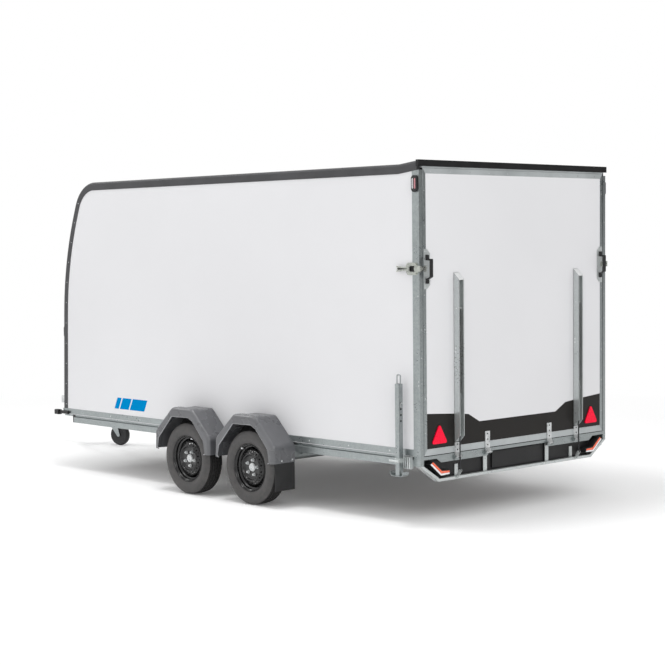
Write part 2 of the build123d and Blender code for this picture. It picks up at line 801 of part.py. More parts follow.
def hinge_strap(y, length):
    """The ramp's half: a strap rolled round the pin."""
    axis = Pos(hinge_x, hinge_z)
    strap = window(-STRAP_T, 0, hinge_z, hinge_z + length)
    rolled = window(hinge_x - HINGE_KNUCKLE, -STRAP_T, hinge_z, hinge_z + 4) - axis * Circle(HINGE_KNUCKLE)
    face = strap - axis * Circle(HINGE_KNUCKLE) - window(-STRAP_T, 0, hinge_z, RAIL_Z + GAP)
    root = window(-STRAP_T, -1, RAIL_Z, RAIL_Z + GAP)
    neck = make_hull([*(axis * Circle(HINGE_KNUCKLE)).edges(), *root.edges()])
    face = face + neck - axis * Circle(HINGE_PIN + FIT) - rolled
    return across(face, y - STRAP_WIDTH / 2, y + STRAP_WIDTH / 2)


def build_bumper():
    """Welded bar under the sill with its brackets, the black infill and the plate panel."""
    top = post_foot_z
    w = half_width
    t = BUMPER_T
    inner_top = w - BUMPER_WALL
    inner_flat = bumper_flat - t / 2
    outer = ((-w, top), (-bumper_flat, bumper_z), (bumper_flat, bumper_z), (w, top))
    inner = ((inner_top, top), (inner_flat, bumper_z + t), (-inner_flat, bumper_z + t), (-inner_top, top))
    bar = along(polygon(*outer, *inner), 0, BUMPER_DEPTH)
    high = RAIL_Z - 2 * STEEL_T
    fill = polygon(*inner, (-inner_top, high), (inner_top, high))
    nodes["bumper_infill"] = along(fill, INFILL_SET, INFILL_SET + INFILL_T)
    places = ((INNER_HINGE_Y, INNER_BRACKET), (channel_y - OUTER_BRACKET_IN, OUTER_BRACKET))
    for place, (depth, width, drop) in places:
        for y in (place, -place):
            side = (y - width / 2, y + width / 2)
            bar += block((depth, depth + BRACKET_T), side, (bumper_z + t - 2, RAIL_Z - drop))
    for y in (channel_y, -channel_y):
        bar += strut_foot(y)
    nodes["rear_bumper"] = bar
    plate_z = (bumper_z + t + 14, sill_high - 12)
    plate = block((INFILL_SET - PLATE_T, INFILL_SET), (-PLATE_HALF, PLATE_HALF), plate_z)
    nodes["plate_holder"] = plate


def build_lamps():
    """Tail lamps in the bumper's corners, marker lamps on the posts and ahead of the body."""
    lamp = polygon(*[(bumper_flat + y, bumper_z + z) for y, z in LAMP_OUTLINE])
    nodes["tail_lamps"] = both_sides(along(lamp, -LAMP_REACH, INFILL_SET))
    x0, x1 = MARKER_X
    shape = RectangleRounded(x1 - x0, MARKER_HEIGHT, MARKER_ROUND)
    lens = across(Pos((x0 + x1) / 2, ROOF_Z - MARKER_DROP) * shape, half_width, half_width + MARKER_T)
    lens = fillet(lens.faces().sort_by(Axis.Y)[-1].edges(), MARKER_T / 3)
    nodes["marker_lamps"] = both_sides(group([lens, front_marker()]))


def strut_foot(y):
    """Two ears behind the bumper bar, and the pin's place between them for the rod's eye."""
    z = bumper_z
    root = window(0, 2, z + 2, z + BUMPER_T - 2)
    ear = make_hull([*(Pos(STRUT_FOOT_X, strut_foot_z) * Circle(EYE_RADIUS)).edges(), *root.edges()])
    near = EYE_WIDTH / 2 + SLIP
    return across(ear, y + near, y + near + BRACKET_T) + across(ear, y - near - BRACKET_T, y - near)


def front_marker():
    """Marker lamp on a rubber arm that points forward from the body's lower corner."""
    w = half_width
    z = RAIL_Z + ARM_MARKER_T / 2
    length, width, height = MARKER_HEAD
    end = BODY_LENGTH + MARKER_AHEAD
    half = ARM_MARKER_T / 2
    arm = block((end - MARKER_ARM, end - length / 2), (w, w + 20), (z - half, z + half))
    arm = fillet(arm.edges().filter_by(Axis.X), 6)
    head = block((end - length, end), (w - 8, w - 8 + width), (z - 24, z - 24 + height))
    head = fillet(head.edges().filter_by(Axis.X), 9)
    return arm + chamfer(head.faces().sort_by(Axis.X)[-1].edges(), 6)


# ---- ramp ----
def build_ramp():
    side = ramp_side
    low = RAIL_Z + GAP
    high = header_z - GAP
    f = RAMP_FRAME
    frame = block((0, RAMP_T), (-side, side), (low, high))
    frame -= block((-1, RAMP_T + 1), (f - side, side - f), (low + f, high - f))
    slot_in = f - RAMP_SLOT
    lap = RAMP_LAP
    core = block((lap, lap + RAMP_SKIN_T), (slot_in - side, side - slot_in), (low + slot_in, high - slot_in))
    frame -= core
    panel = core + block((0, lap), (f - side, side - f), (low + f, high - f))
    nodes["ramp_frame"] = frame
    nodes["ramp_panel"] = panel
    build_ramp_fittings()


def build_ramp_fittings():
    nodes["ramp_channels"] = both_sides(strut_channel())
    nodes["ramp_hinges"] = group([hinge_strap(c, length) for y, length in hinges for c in (y, -y)])
    nodes["ramp_handles"] = both_sides(bow_handle())
    triangle = RegularPolygon(REFLECTOR_SIDE / math.sqrt(3), 3, rotation=90)
    place = Pos(half_width - REFLECTOR_INSET, RAIL_Z + REFLECTOR_HEIGHT)
    face = place * fillet(triangle.vertices(), REFLECTOR_ROUND)
    reflector = along(face, -REFLECTOR_T, 0)
    nodes["reflectors"] = both_sides(reflector)


def strut_channel():
    """Folded channel over the gas strut: closed and slanted at its top, tapered at its foot."""
    c = CHANNEL_WIDTH / 2
    t = CHANNEL_T
    z0, z1 = channel_z
    d = CHANNEL_DEPTH
    profile = polygon((0, z0), (-CHANNEL_LIP, z0), (-d, z0 + CHANNEL_TAPER), (-d, z1 - d), (0, z1))
    shell = across(profile, channel_y - c, channel_y + c)
    hollow = polygon((-t, z0 - 1), (-d + t, z0 - 1), (-d + t, z1 - d - t), (-t, z1 - 4 * t))
    shell -= across(hollow, channel_y - c + t, channel_y + c - t)
    slot = window(-d - 1, -d + t + 1, z0 - 1, z1 - d - 2 * t)
    slot_side = CYLINDER_RADIUS + STRUT_CLEAR
    shell -= across(slot, channel_y - slot_side, channel_y + slot_side)
    pin = Pos(STRUT_TOP_X, strut_top_z) * Circle(STRUT_PIN)
    return shell + across(pin, channel_y - c + t, channel_y + c - t)


def bow_handle():
    """Base plate with cut corners and a grip bowed out between two pads."""
    middle = latch_z - HANDLE_BELOW
    low = middle - HANDLE_LENGTH / 2
    high = middle + HANDLE_LENGTH / 2
    y1 = ramp_side - HANDLE_PLATE_EDGE
    below, above = HANDLE_PLATE_OVER
    sheet = window(y1 - HANDLE_PLATE_WIDTH, y1, low - below, high + above)
    plate = along(chamfer(sheet.vertices().sort_by(Axis.X)[:2], HANDLE_PLATE_CUT), -HANDLE_PLATE_T, 0)
    pad = HANDLE_PAD
    far = HANDLE_STAND
    near = far - HANDLE_GRIP
    t = HANDLE_PLATE_T
    foot, head = ((-2 * t, low), (-far, low + pad)), ((-far, high - pad), (-2 * t, high))
    outside = polygon((-t, low), *foot, *head, (-t, high))
    inside = polygon(
        (-t, low + pad),
        (-4 * t, low + pad),
        (-near, low + 1.6 * pad),
        (-near, high - 1.6 * pad),
        (-4 * t, high - pad),
        (-t, high - pad),
    )
    y = ramp_side - HANDLE_INSET
    grip = across(outside - inside, y - HANDLE_WIDTH / 2, y + HANDLE_WIDTH / 2)
    back = grip.edges().filter_by_position(Axis.X, -far - 1, 1 - far)
    return plate + fillet(back.filter_by(Axis.Z), 5)


def build_struts():
    """Gas strut in each channel; the rod's eye stands between the ears of its foot."""
    top = Vector(STRUT_TOP_X, 0, strut_top_z)
    foot = Vector(STRUT_FOOT_X, 0, strut_foot_z)
    line = foot - top
    length = line.length
    frame = Plane(origin=(STRUT_TOP_X, 0, strut_top_z), x_dir=(0, 1, 0), z_dir=line)
    bore = CYLINDER_RADIUS - CYLINDER_T
    tube = frame * Pos(0, 0, 6) * extrude(Circle(CYLINDER_RADIUS), CYLINDER_LENGTH - 6)
    tube -= frame * Pos(0, 0, 20) * extrude(Circle(bore), CYLINDER_LENGTH - 40)
    tube -= frame * Pos(0, 0, 20) * extrude(Circle(ROD_RADIUS + FIT), CYLINDER_LENGTH)
    ring = Pos(STRUT_TOP_X, strut_top_z) * Circle(EYE_RADIUS)
    tube += across(ring, -EYE_WIDTH / 2, EYE_WIDTH / 2)
    hole = Pos(STRUT_TOP_X, strut_top_z) * Circle(STRUT_PIN + FIT)
    tube -= across(hole, -EYE_WIDTH, EYE_WIDTH)
    start = CYLINDER_LENGTH - ROD_INSIDE
    rod = frame * Pos(0, 0, start) * extrude(Circle(ROD_RADIUS), length - start - EYE_RADIUS + 1)
    rod += frame * Pos(0, 0, start) * extrude(Circle(bore - FIT), 12)
    eye = Pos(STRUT_FOOT_X, strut_foot_z) * Circle(EYE_RADIUS)
    rod += across(eye, -EYE_WIDTH / 2, EYE_WIDTH / 2)
    for side, name in ((1, "left"), (-1, "right")):
        nodes[f"strut_cylinder_{name}"] = Pos(0, side * channel_y, 0) * tube
        nodes[f"strut_rod_{name}"] = Pos(0, side * channel_y, 0) * rod


# ---- rear legs ----
def build_legs():
    low, high = leg_z
    h = LEG_SIZE / 2
    w = LEG_WALL
    tube = block((LEG_X - h, LEG_X + h), (leg_y - h, leg_y + h), (low, high))
    tube -= block((LEG_X - h + w, LEG_X + h - w), (leg_y - h + w, leg_y + h - w), (low - 1, high + 1))
    first, pitch, count = LEG_HOLES
    for i in range(count):
        z = high - first - i * pitch
        tube -= rod_between((LEG_X - h - 1, leg_y, z), (LEG_X + h + 1, leg_y, z), LEG_HOLE_RADIUS)
    reach = h - LOOP_RADIUS + 2
    top = high + LOOP_HEIGHT - LOOP_RADIUS
    loop = FilletPolyline(
        (LEG_X - reach, leg_y, high - 20),
        (LEG_X - reach, leg_y, top),
        (LEG_X + reach, leg_y, top),
        (LEG_X + reach, leg_y, high - 20),
        radius=LOOP_BEND,
    )
    tube += sweep(Plane(loop @ 0, z_dir=loop % 0) * Circle(LOOP_RADIUS), loop)
    half = FOOT_WIDTH / 2
    shoe = across(foot_face(low), leg_y - half, leg_y + half)
    stem = block((LEG_X - h, LEG_X + h), (leg_y - h, leg_y + h), (low - FOOT_RISE + 1, low))
    leg = tube + shoe + stem
    nodes["support_leg_left"] = leg
    nodes["support_leg_right"] = mirror(leg, Plane.XZ)
    nodes["leg_clamps"] = both_sides(leg_clamp())


def foot_face(low):
    """Side view of the foot: a plate bent up at both ends."""
    end = FOOT_HALF
    bend = FOOT_BEND
    bottom = low - FOOT_RISE
    t = FOOT_T
    half = [(end, low), (end, bottom + 14), (bend, bottom)]
    back = [(bend - 2, bottom + t), (end - t, bottom + 16), (end - t, low)]
    outer = [(LEG_X + x, z) for x, z in half]
    outer += [(LEG_X - x, z) for x, z in reversed(half)]
    inner = [(LEG_X - x, z) for x, z in reversed(back)]
    inner += [(LEG_X + x, z) for x, z in back]
    return polygon(*outer, *inner)


def leg_clamp():
    """Bracket on the rail, collar round the leg, and the clamping screw with its T-bar."""
    z0, z1 = (RAIL_Z - drop for drop in CLAMP_SPAN)
    low, high = (RAIL_Z - drop for drop in CLAMP_BODY)
    s = LEG_SIZE / 2 + SLIP
    far = s + CLAMP_T
    side = half_width
    collar = block((LEG_X - far, LEG_X + far), (side, leg_y + far), (z0, z1))
    collar -= block((LEG_X - s, LEG_X + s), (leg_y - s, leg_y + s), (z0 - 1, z1 + 1))
    start = LEG_X - CLAMP_REACH
    body = block((start, LEG_X - far), (side, side + CLAMP_DEPTH), (low, high))
    first, pitch, count = CLAMP_RIBS
    for i in range(count):
        x = start + first + i * pitch
        groove = (x, x + CLAMP_GROOVE)
        body -= block(groove, (side + 10, side + CLAMP_DEPTH + 1), (low - 1, high + 1))
    plate = block((start, LEG_X + far), (side, side + CLAMP_PLATE), (low, high))
    middle = (z0 + z1) / 2
    out = leg_y + far
    half, radius = CLAMP_BAR
    bolt = rod_between((LEG_X, out - 1, middle), (LEG_X, out + 30, middle), CLAMP_SCREW)
    bar = rod_between((LEG_X - half, out + 26, middle), (LEG_X + half, out + 26, middle), radius)
    return collar + body + plate + bolt + bar


# ---- latches and front handles ----
def build_latches():
    """Toggle latches on the posts: base, two cheeks, forked lever on its pin, and the hook."""
    w = half_width
    x0, x1 = LATCH_X
    h = LATCH_HALF
    base = chamfer(window(x0, x1, latch_z - h, latch_z + h).vertices(), 12)
    latch = across(base, w, w + 4)
    for z in (latch_z - h + 12, latch_z + h - 16):
        latch += block((x0 + 14, x0 + 84), (w + 3, w + 26), (z, z + 4))
    pin_x = x0 + LATCH_PIN
    level = w + LATCH_OUT
    latch += rod_between((pin_x, level, latch_z - h + 14), (pin_x, level, latch_z + h - 14), 5)
    tip = x1 + LATCH_TIP
    half = [(x0 + 30, 12), (x1, 8), (tip, 22), (tip, 12), (x1 + LATCH_TIP / 3, 0)]
    fork = [(x, latch_z + z) for x, z in half] + [(x, latch_z - z) for x, z in reversed(half[:-1])]
    latch += across(polygon(*fork), level - 3, level + 2.5)
    r = HOOK_RADIUS
    end = rear_side + GAP
    for z in (latch_z - HOOK_HALF, latch_z + HOOK_HALF):
        latch += rod_between((pin_x - r, level, z), (HOOK_X + 1, level, z), r)
        latch += rod_between((HOOK_X, level + r, z), (HOOK_X, end, z), r + 0.5)
    low, high = latch_z - HOOK_HALF + 1, latch_z + HOOK_HALF - 1
    latch += rod_between((HOOK_X, end + 6, low), (HOOK_X, end + 6, high), r)
    nodes["toggle_latches"] = both_sides(latch)


# ---- drawbar fittings ----
def build_drawbar():
    """Overrun device on the arms' apex: housing, bellows, shaft with the ball coupling, lever."""
    z = coupling_z
    h = HOUSING_HALF
    x0 = arm_apex_x - HOUSING_REACH[0]
    x1 = arm_apex_x + HOUSING_REACH[1]
    housing = block((x0, x1), (-h, h), (z - h + 10, z + h - 10))
    housing = fillet(housing.edges().filter_by(Axis.X), 14)
    plate = arm_middle(jockey_x) - ARM_WIDTH / 2 - PLATE_CLEAR
    housing += block((x0, arm_apex_x), (-plate, plate), (arm_bottom - 12, arm_bottom))
    housing += block((x0 + 10, x1 - 40), (-h, h), (arm_bottom - 12, z))
    nodes["overrun_device"] = housing - rod_between((x0 - 1, 0, z), (x1 + 1, 0, z), SHAFT_RADIUS)
    head_start = ball_x - HEAD_LENGTH
    nodes["overrun_bellows"] = Pos(x1, 0, z) * bellows(head_start - 15 - x1)
    shaft = rod_between((x0 + 20, 0, z), (ball_x - 80, 0, z), SHAFT_RADIUS - FIT)
    nodes["coupling_head"] = shaft + ball_coupling(head_start)
    x = x0 + 60
    y = h + 12
    lever = rod_between((x, y, z + 40), (x - 240, y, z + 230), 9)
    lever += rod_between((x, h, z + 20), (x, y + 10, z + 20), 14)
    lever += rod_between((x, y, z + 20), (x, y, z + 44), 9)
    nodes["handbrake_lever"] = lever
    build_jockey()


def bellows(length):
    """Rubber bellows round the shaft, turned about X."""
    pitch = length / BELLOWS_FOLDS
    bore = SHAFT_RADIUS + SEAT
    valley, peak = (bore + depth for depth in BELLOWS_DEPTH)
    rows = [(0, bore), (0, valley)]
    for i in range(BELLOWS_FOLDS):
        rows += [((i + 0.5) * pitch, peak), ((i + 1) * pitch, valley)]
    rows.append((length, bore))
    return revolve(polygon(*rows), Axis.X)


def ball_coupling(start):
    """Pressed coupling head: flat-sided body rising over the ball, with a curved handle on top."""
    z = coupling_z
    nose = nose_x
    side = polygon(
        (start, z - 28), (start, z + 30), (start + 50, z + 34), (ball_x - 30, z + 48),
        (ball_x + 22, z + 46), (nose, z + 14), (nose, z - 26), (ball_x - 40, z - 26),
    )
    w = HEAD_HALF
    body = across(fillet(side.vertices().sort_by(Axis.X)[-4:], 10), -w, w)
    neck = w - 6
    plan = polygon((start, -neck), (ball_x - 50, -w), (nose, -w), (nose, w), (ball_x - 50, w), (start, neck))
    plan = fillet(plan.vertices().sort_by(Axis.X)[-2:], 30)
    body &= upward(plan, z - 60, z + 80)
    body -= rod_between((ball_x, 0, z - 30), (ball_x, 0, z + BALL_DEPTH), BALL_SOCKET)
    grip = polygon(
        (ball_x - 200, z + 66), (ball_x - 196, z + 76), (ball_x - 60, z + 72), (ball_x - 18, z + 56),
        (ball_x - 18, z + 40), (ball_x - 46, z + 40), (ball_x - 70, z + 60),
    )
    return body + across(fillet(grip.vertices().sort_by(Axis.X)[:2], 4), -16, 16)


def arm_middle(x):
    """How far the middle of a drawbar arm lies from the centre line, ahead of the bend."""
    slope = (arm_out - ARM_APEX_Y) / (arm_apex_x - arm_bend_x)
    return ARM_APEX_Y + slope * (arm_apex_x - x)


def jockey_y():
    """The jockey wheel's tube stands outside the right-hand arm."""
    return -(arm_middle(jockey_x) + JOCKEY_REACH + JOCKEY_TUBE)


def build_jockey():
    """Tube in its bracket, screw crank on top, and below it the trailing fork with its wheel."""
    y = jockey_y()
    r = JOCKEY_TUBE
    inner = r - JOCKEY_WALL
    low = arm_bottom - JOCKEY_DROP
    high = low + JOCKEY_LENGTH
    tube = rod_between((jockey_x, y, low), (jockey_x, y, high), r)
    tube += rod_between((jockey_x, y, arm_bottom - 6), (jockey_x, y, arm_top + 6), r + 7)
    lap = ARM_WIDTH / 2
    for z in ((arm_bottom - 8, arm_bottom - SEAT), (arm_top + SEAT, arm_top + 8)):
        tube += block((jockey_x - 35, jockey_x + 35), (y + inner + 1, y + r + JOCKEY_REACH + lap), z)
    out = y - r - 38
    tube += rod_between((jockey_x, y - inner - 1, coupling_z), (jockey_x, out + 2, coupling_z), 6)
    tube += rod_between((jockey_x - 40, out, coupling_z), (jockey_x + 40, out, coupling_z), 6)
    tube -= rod_between((jockey_x, y, low - 1), (jockey_x, y, high - 10), inner + FIT)
    nodes["jockey_tube"] = tube
    crank = rod_between((jockey_x, y, high), (jockey_x, y, high + 40), 10)
    crank += rod_between((jockey_x, y, high + 32), (jockey_x - 120, y, high + 32), 7)
    crank += rod_between((jockey_x - 116, y, high + 30), (jockey_x - 116, y, high + 110), 11)
    nodes["jockey_crank"] = crank
    castor = Pos(jockey_x, y, 0) * Rot(0, 0, JOCKEY_TURN)
    nodes["jockey_fork"] = castor * jockey_fork(low, inner)
    w = JOCKEY_WHEEL_WIDTH / 2
    far = JOCKEY_WHEEL_RADIUS
    hub = (JOCKEY_AXLE + FIT, w + 2), (20, w + 2), (20, w - 6)
    half = [*hub, (60, w - 6), (72, w - 2), (88, w), (100, w - 12), (far, w - 22)]
    section = polygon(*half, *[(radius, -wide) for radius, wide in reversed(half)])
    nodes["jockey_wheel"] = castor * Pos(-JOCKEY_TRAIL, 0, far) * revolve(section, Axis.Y)


def jockey_fork(tube_low, stem_radius):
    """Drawn about the swivel axis, with its two cheeks raked back to the wheel's axle."""
    far = JOCKEY_WHEEL_RADIUS
    crown = 2 * far + FORK_CLEAR
    gap = JOCKEY_WHEEL_WIDTH / 2 + 4
    fork = rod_between((0, 0, crown), (0, 0, tube_low + 200), stem_radius)
    t = FORK_T
    fork += block((-JOCKEY_TRAIL + 20, 28), (-gap - t, gap + t), (crown, crown + 5))
    cheek = make_hull(
        [
            *(Pos(-JOCKEY_TRAIL, far) * Circle(17)).edges(),
            *Polyline((-JOCKEY_TRAIL + 20, crown + 5), (28, crown + 5)).edges(),
        ]
    )
    for side in (1, -1):
        fork += across(cheek, *sorted((side * gap, side * (gap + t))))
    return fork + rod_between((-JOCKEY_TRAIL, -gap, far), (-JOCKEY_TRAIL, gap, far), JOCKEY_AXLE)


def front_handles():
    """Bow handles on the front wall, close to its edges."""
    x = BODY_LENGTH - PANEL_T + 3
    out = x + FRONT_HANDLE_OUT
    y = half_width - FRONT_HANDLE_INSET
    low, high = FRONT_HANDLE_Z
    path = FilletPolyline((x, y, low), (out, y, low + 15), (out, y, high - 15), (x, y, high), radius=20)
    return sweep(Plane(path @ 0, z_dir=path % 0) * Circle(FRONT_HANDLE_RADIUS), path)


def export():
    os.makedirs("parts", exist_ok=True)
    for name, shape in nodes.items():
        export_step(Pos(-middle_x, 0, 0) * shape, f"parts/{name}.step")


build_walls()
build_chassis()
build_axles()
build_wheels()
build_fenders()
build_rear()
build_ramp()
build_struts()
build_legs()
build_latches()
build_drawbar()
nodes["front_handles"] = both_sides(front_handles() - nodes["front_wall"])
export()
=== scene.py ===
import math
import bmesh
import bpy
from mathutils import Matrix, Vector


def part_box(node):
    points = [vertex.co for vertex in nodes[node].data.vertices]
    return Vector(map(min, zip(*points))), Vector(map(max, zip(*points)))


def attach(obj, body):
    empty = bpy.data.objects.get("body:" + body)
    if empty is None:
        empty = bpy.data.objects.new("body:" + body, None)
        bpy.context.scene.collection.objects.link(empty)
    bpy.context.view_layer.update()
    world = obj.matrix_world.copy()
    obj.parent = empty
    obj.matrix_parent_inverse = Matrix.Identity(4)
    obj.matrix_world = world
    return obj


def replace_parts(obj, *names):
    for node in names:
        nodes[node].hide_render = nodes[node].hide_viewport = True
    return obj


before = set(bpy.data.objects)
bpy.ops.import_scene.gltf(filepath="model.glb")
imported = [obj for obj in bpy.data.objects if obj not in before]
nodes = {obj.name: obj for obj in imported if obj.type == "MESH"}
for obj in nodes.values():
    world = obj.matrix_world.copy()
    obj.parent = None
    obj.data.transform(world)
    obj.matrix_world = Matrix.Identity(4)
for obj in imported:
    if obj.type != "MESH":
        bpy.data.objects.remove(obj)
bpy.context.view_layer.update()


def edgeOf(node, side, axis):
    # lowest (0) or highest (1) coordinate of a part along x, y or z
    return getattr(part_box(node)[side], axis)


rearFace = edgeOf("rear_posts", 0, "x")  # rear face of the body
bodyHalf = edgeOf("side_rails", 1, "y")
wallFace = edgeOf("side_walls", 1, "y")
railTop = edgeOf("side_walls", 0, "z")
roofTop = edgeOf("roof", 1, "z")
frontFoot = edgeOf("front_wall", 1, "x")
rampLow = edgeOf("ramp_frame", 0, "z")
rampHigh = edgeOf("ramp_frame", 1, "z")
rampHalf = edgeOf("ramp_frame", 1, "y")
sides = ((1, "left"), (-1, "right"))  # sign of y and name of each side


def linear(code):
    # sRGB hex to a linear colour
    parts = [int(code[i:i + 2], 16) / 255 for i in (1, 3, 5)]
    return tuple(p / 12.92 if p <= 0.04045 else ((p + 0.055) / 1.055) ** 2.4 for p in parts) + (1.0,)


def addNode(tree, kind, settings=None, links=None):
    # one node with its settings and what feeds it; a number names an input by its place
    node = tree.nodes.new(kind)
    for key, value in (settings or {}).items():
        if isinstance(key, int) or key in node.inputs:
            node.inputs[key].default_value = value
        else:
            setattr(node, key, value)
    for key, source in (links or {}).items():
        tree.links.new(source, node.inputs[key])
    return node


def newMaterial(name, shader):
    # a principled material with its uniform values set on the sockets
    material = bpy.data.materials.new(name)
    material.use_nodes = True
    tree = material.node_tree
    surface = tree.nodes["Principled BSDF"]
    for key, value in shader.items():
        surface.inputs[key].default_value = value
    place = addNode(tree, "ShaderNodeTexCoord").outputs["Object"]
    return material, tree, surface, place


def scaleOf(size):
    # a pattern's scale from its real size in millimetres
    return 1000 / size


def blendShades(tree, surface, share, look, span):
    # mixes a look's two shades and its gloss by one share
    shades = {"data_type": "RGBA", 6: linear(look["dark"]), 7: linear(look["light"])}
    mix = addNode(tree, "ShaderNodeMix", shades, {0: share})
    tree.links.new(mix.outputs[2], surface.inputs["Base Color"])
    rough = {1: span[0], 2: span[1], 3: look["rough"][0], 4: look["rough"][1]}
    gloss = addNode(tree, "ShaderNodeMapRange", rough, {0: share})
    tree.links.new(gloss.outputs[0], surface.inputs["Roughness"])


def mottle(tree, surface, place, look):
    # two shades mixed by a noise of a real size, with a matching change of gloss
    cloud = {"Scale": scaleOf(look["grain"]), "Detail": 3.0}
    noise = addNode(tree, "ShaderNodeTexNoise", cloud, {"Vector": place})
    share = addNode(tree, "ShaderNodeMapRange", {1: 0.35, 2: 0.65, 3: 0.0, 4: 1.0}, {0: noise.outputs[0]})
    blendShades(tree, surface, share.outputs[0], look, (0.0, 1.0))


def relief(tree, surface, source, height, strength=1.0):
    # raises the surface by a pattern's value: height in millimetres
    settings = {"Strength": strength, "Distance": height / 1000}
    bump = addNode(tree, "ShaderNodeBump", settings, {"Height": source})
    tree.links.new(bump.outputs[0], surface.inputs["Normal"])


def finishPiece(name, mesh, material, body, sharp=35, bevel=0.0):
    # turns a built mesh into a piece of the object: smooth where it is round, riding on its body
    data = bpy.data.meshes.new(name)
    bmesh.ops.recalc_face_normals(mesh, faces=mesh.faces)
    mesh.to_mesh(data)
    mesh.free()
    data.polygons.foreach_set("use_smooth", [True] * len(data.polygons))
    data.set_sharp_from_angle(angle=math.radians(sharp))
    data.materials.append(material)
    piece = bpy.data.objects.new(name, data)
    bpy.context.scene.collection.objects.link(piece)
    if bevel:
        rounding = piece.modifiers.new("edgeRounding", "BEVEL")
        rounding.width = bevel
        rounding.segments = 2
        rounding.limit_method = "ANGLE"
    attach(piece, body)
    return piece


def spread(axis, along, point):
    # a flat drawing's point in space: axis is the one it is thick along
    if axis == "x":
        return (along, point[0], point[1])
    if axis == "y":
        return (point[0], along, point[1])
    return (point[0], point[1], along)


def addPrism(mesh, outline, axis, low, high):
    # a closed outline as thick as low to high
    first = [mesh.verts.new(spread(axis, low, p)) for p in outline]
    last = [mesh.verts.new(spread(axis, high, p)) for p in outline]
    mesh.faces.new(first)
    mesh.faces.new(last)
    for i in range(len(outline)):
        j = (i + 1) % len(outline)
        mesh.faces.new((first[i], first[j], last[j], last[i]))


def addRings(mesh, rings, closed=False, capped=True):
    # joins rows of points into a skin
    rows = [[mesh.verts.new(p) for p in ring] for ring in rings]
    pairs = list(zip(rows, rows[1:])) + ([(rows[-1], rows[0])] if closed else [])
    for a, b in pairs:
        for i in range(len(a)):
            j = (i + 1) % len(a)
            mesh.faces.new((a[i], a[j], b[j], b[i]))
    if capped and not closed:
        mesh.faces.new(rows[0])
        mesh.faces.new(rows[-1])


def ringOf(middle, side, other, steps):
    # points round a circle given by its middle and two radii square to each other
    turns = [math.tau * i / steps for i in range(steps)]
    return [middle + side * math.cos(a) + other * math.sin(a) for a in turns]


def addTurned(mesh, centre, normal, profile, steps=24):
    # a profile of (radius, height along the normal) turned about a centre
    normal = Vector(normal).normalized()
    side = normal.orthogonal().normalized()
    other = normal.cross(side)
    rings = []
    for radius, height in profile:
        middle = Vector(centre) + normal * height
        rings.append(ringOf(middle, side * radius, other * radius, steps))
    addRings(mesh, rings)


def addDome(mesh, centre, normal, radius, height):
    # a rivet's or screw's rounded head
    profile = [(radius * math.cos(a), height * math.sin(a)) for a in (0.0, 0.5, 1.0, 1.35)]
    addTurned(mesh, centre, normal, [(radius, -height)] + profile, 12)


def addTube(mesh, path, radius, steps=12, closed=False):
    # a round bar along a list of points
    points = [Vector(p) for p in path]
    rings = []
    side = None
    for i, point in enumerate(points):
        before = points[i - 1] if i or closed else points[i]
        after = points[(i + 1) % len(points)] if i + 1 < len(points) or closed else points[i]
        way = (after - before).normalized()
        side = (side - way * side.dot(way) if side else way.orthogonal()).normalized()
        rings.append(ringOf(point, side * radius, way.cross(side) * radius, steps))
    addRings(mesh, rings, closed=closed)


def rectangle(a0, b0, a1, b1):
    # a closed outline between two opposite corners
    return [(a0, b0), (a1, b0), (a1, b1), (a0, b1)]


def shifted(points, along, up):
    return [(along + a, up + b) for a, b in points]


def mirrored(points):
    # the other half of an outline that is the same on both sides of its first axis
    return [(-a, b) for a, b in reversed(points)]


def roundCorner(before, corner, after, radius, steps):
    # points on the arc that rounds one corner of a flat line
    back, ahead = (before - corner).normalized(), (after - corner).normalized()
    half = back.angle(ahead) / 2
    reach = radius / math.tan(half)
    centre = corner + (back + ahead).normalized() * (radius / math.sin(half))
    start = corner + back * reach - centre
    swing = -start.angle_signed(corner + ahead * reach - centre)
    arc = []
    for i in range(steps + 1):
        c, s = math.cos(swing * i / steps), math.sin(swing * i / steps)
        arc.append(centre + Vector((start.x * c - start.y * s, start.x * s + start.y * c)))
    return arc


def rounded(points, radius, steps=5):
    # a closed outline with its corners rounded
    corners = [Vector(p) for p in points]
    result = []
    for before, corner, after in zip(corners[-1:] + corners, corners, corners[1:] + corners[:1]):
        result += roundCorner(before, corner, after, radius, steps)
    return result


def bothSides(y):
    return (y, -y)


def galvanisedMaterial(name, look):
    # zinc over steel: crystal spangle in cool greys, duller where the zinc ran thick
    material, tree, surface, place = newMaterial(name, {"Metallic": look["metallic"]})
    cells = addNode(tree, "ShaderNodeTexVoronoi", {"Scale": scaleOf(look["spangle"])}, {"Vector": place})
    tone = addNode(tree, "ShaderNodeSeparateColor", {}, {0: cells.outputs["Color"]})
    thickness = {"Scale": scaleOf(look["cloud"]), "Detail": 4.0}
    cloud = addNode(tree, "ShaderNodeTexNoise", thickness, {"Vector": place})
    sources = {2: tone.outputs[0], 3: cloud.outputs[0]}
    blend = addNode(tree, "ShaderNodeMix", {"data_type": "FLOAT", 0: 0.6}, sources)
    blendShades(tree, surface, blend.outputs[0], look, (0.2, 0.8))
    relief(tree, surface, cloud.outputs[0], look["relief"], 0.5)
    return material


def plainMaterial(name, look, shader):
    # mottled finish of one grain; its grit is the size and height of a fine relief
    material, tree, surface, place = newMaterial(name, shader)
    mottle(tree, surface, place, look)
    if "grit" in look:
        size, height = look["grit"]
        settings = {"Scale": scaleOf(size), "Detail": 2.0}
        grit = addNode(tree, "ShaderNodeTexNoise", settings, {"Vector": place})
        relief(tree, surface, grit.outputs[0], height)
    return material


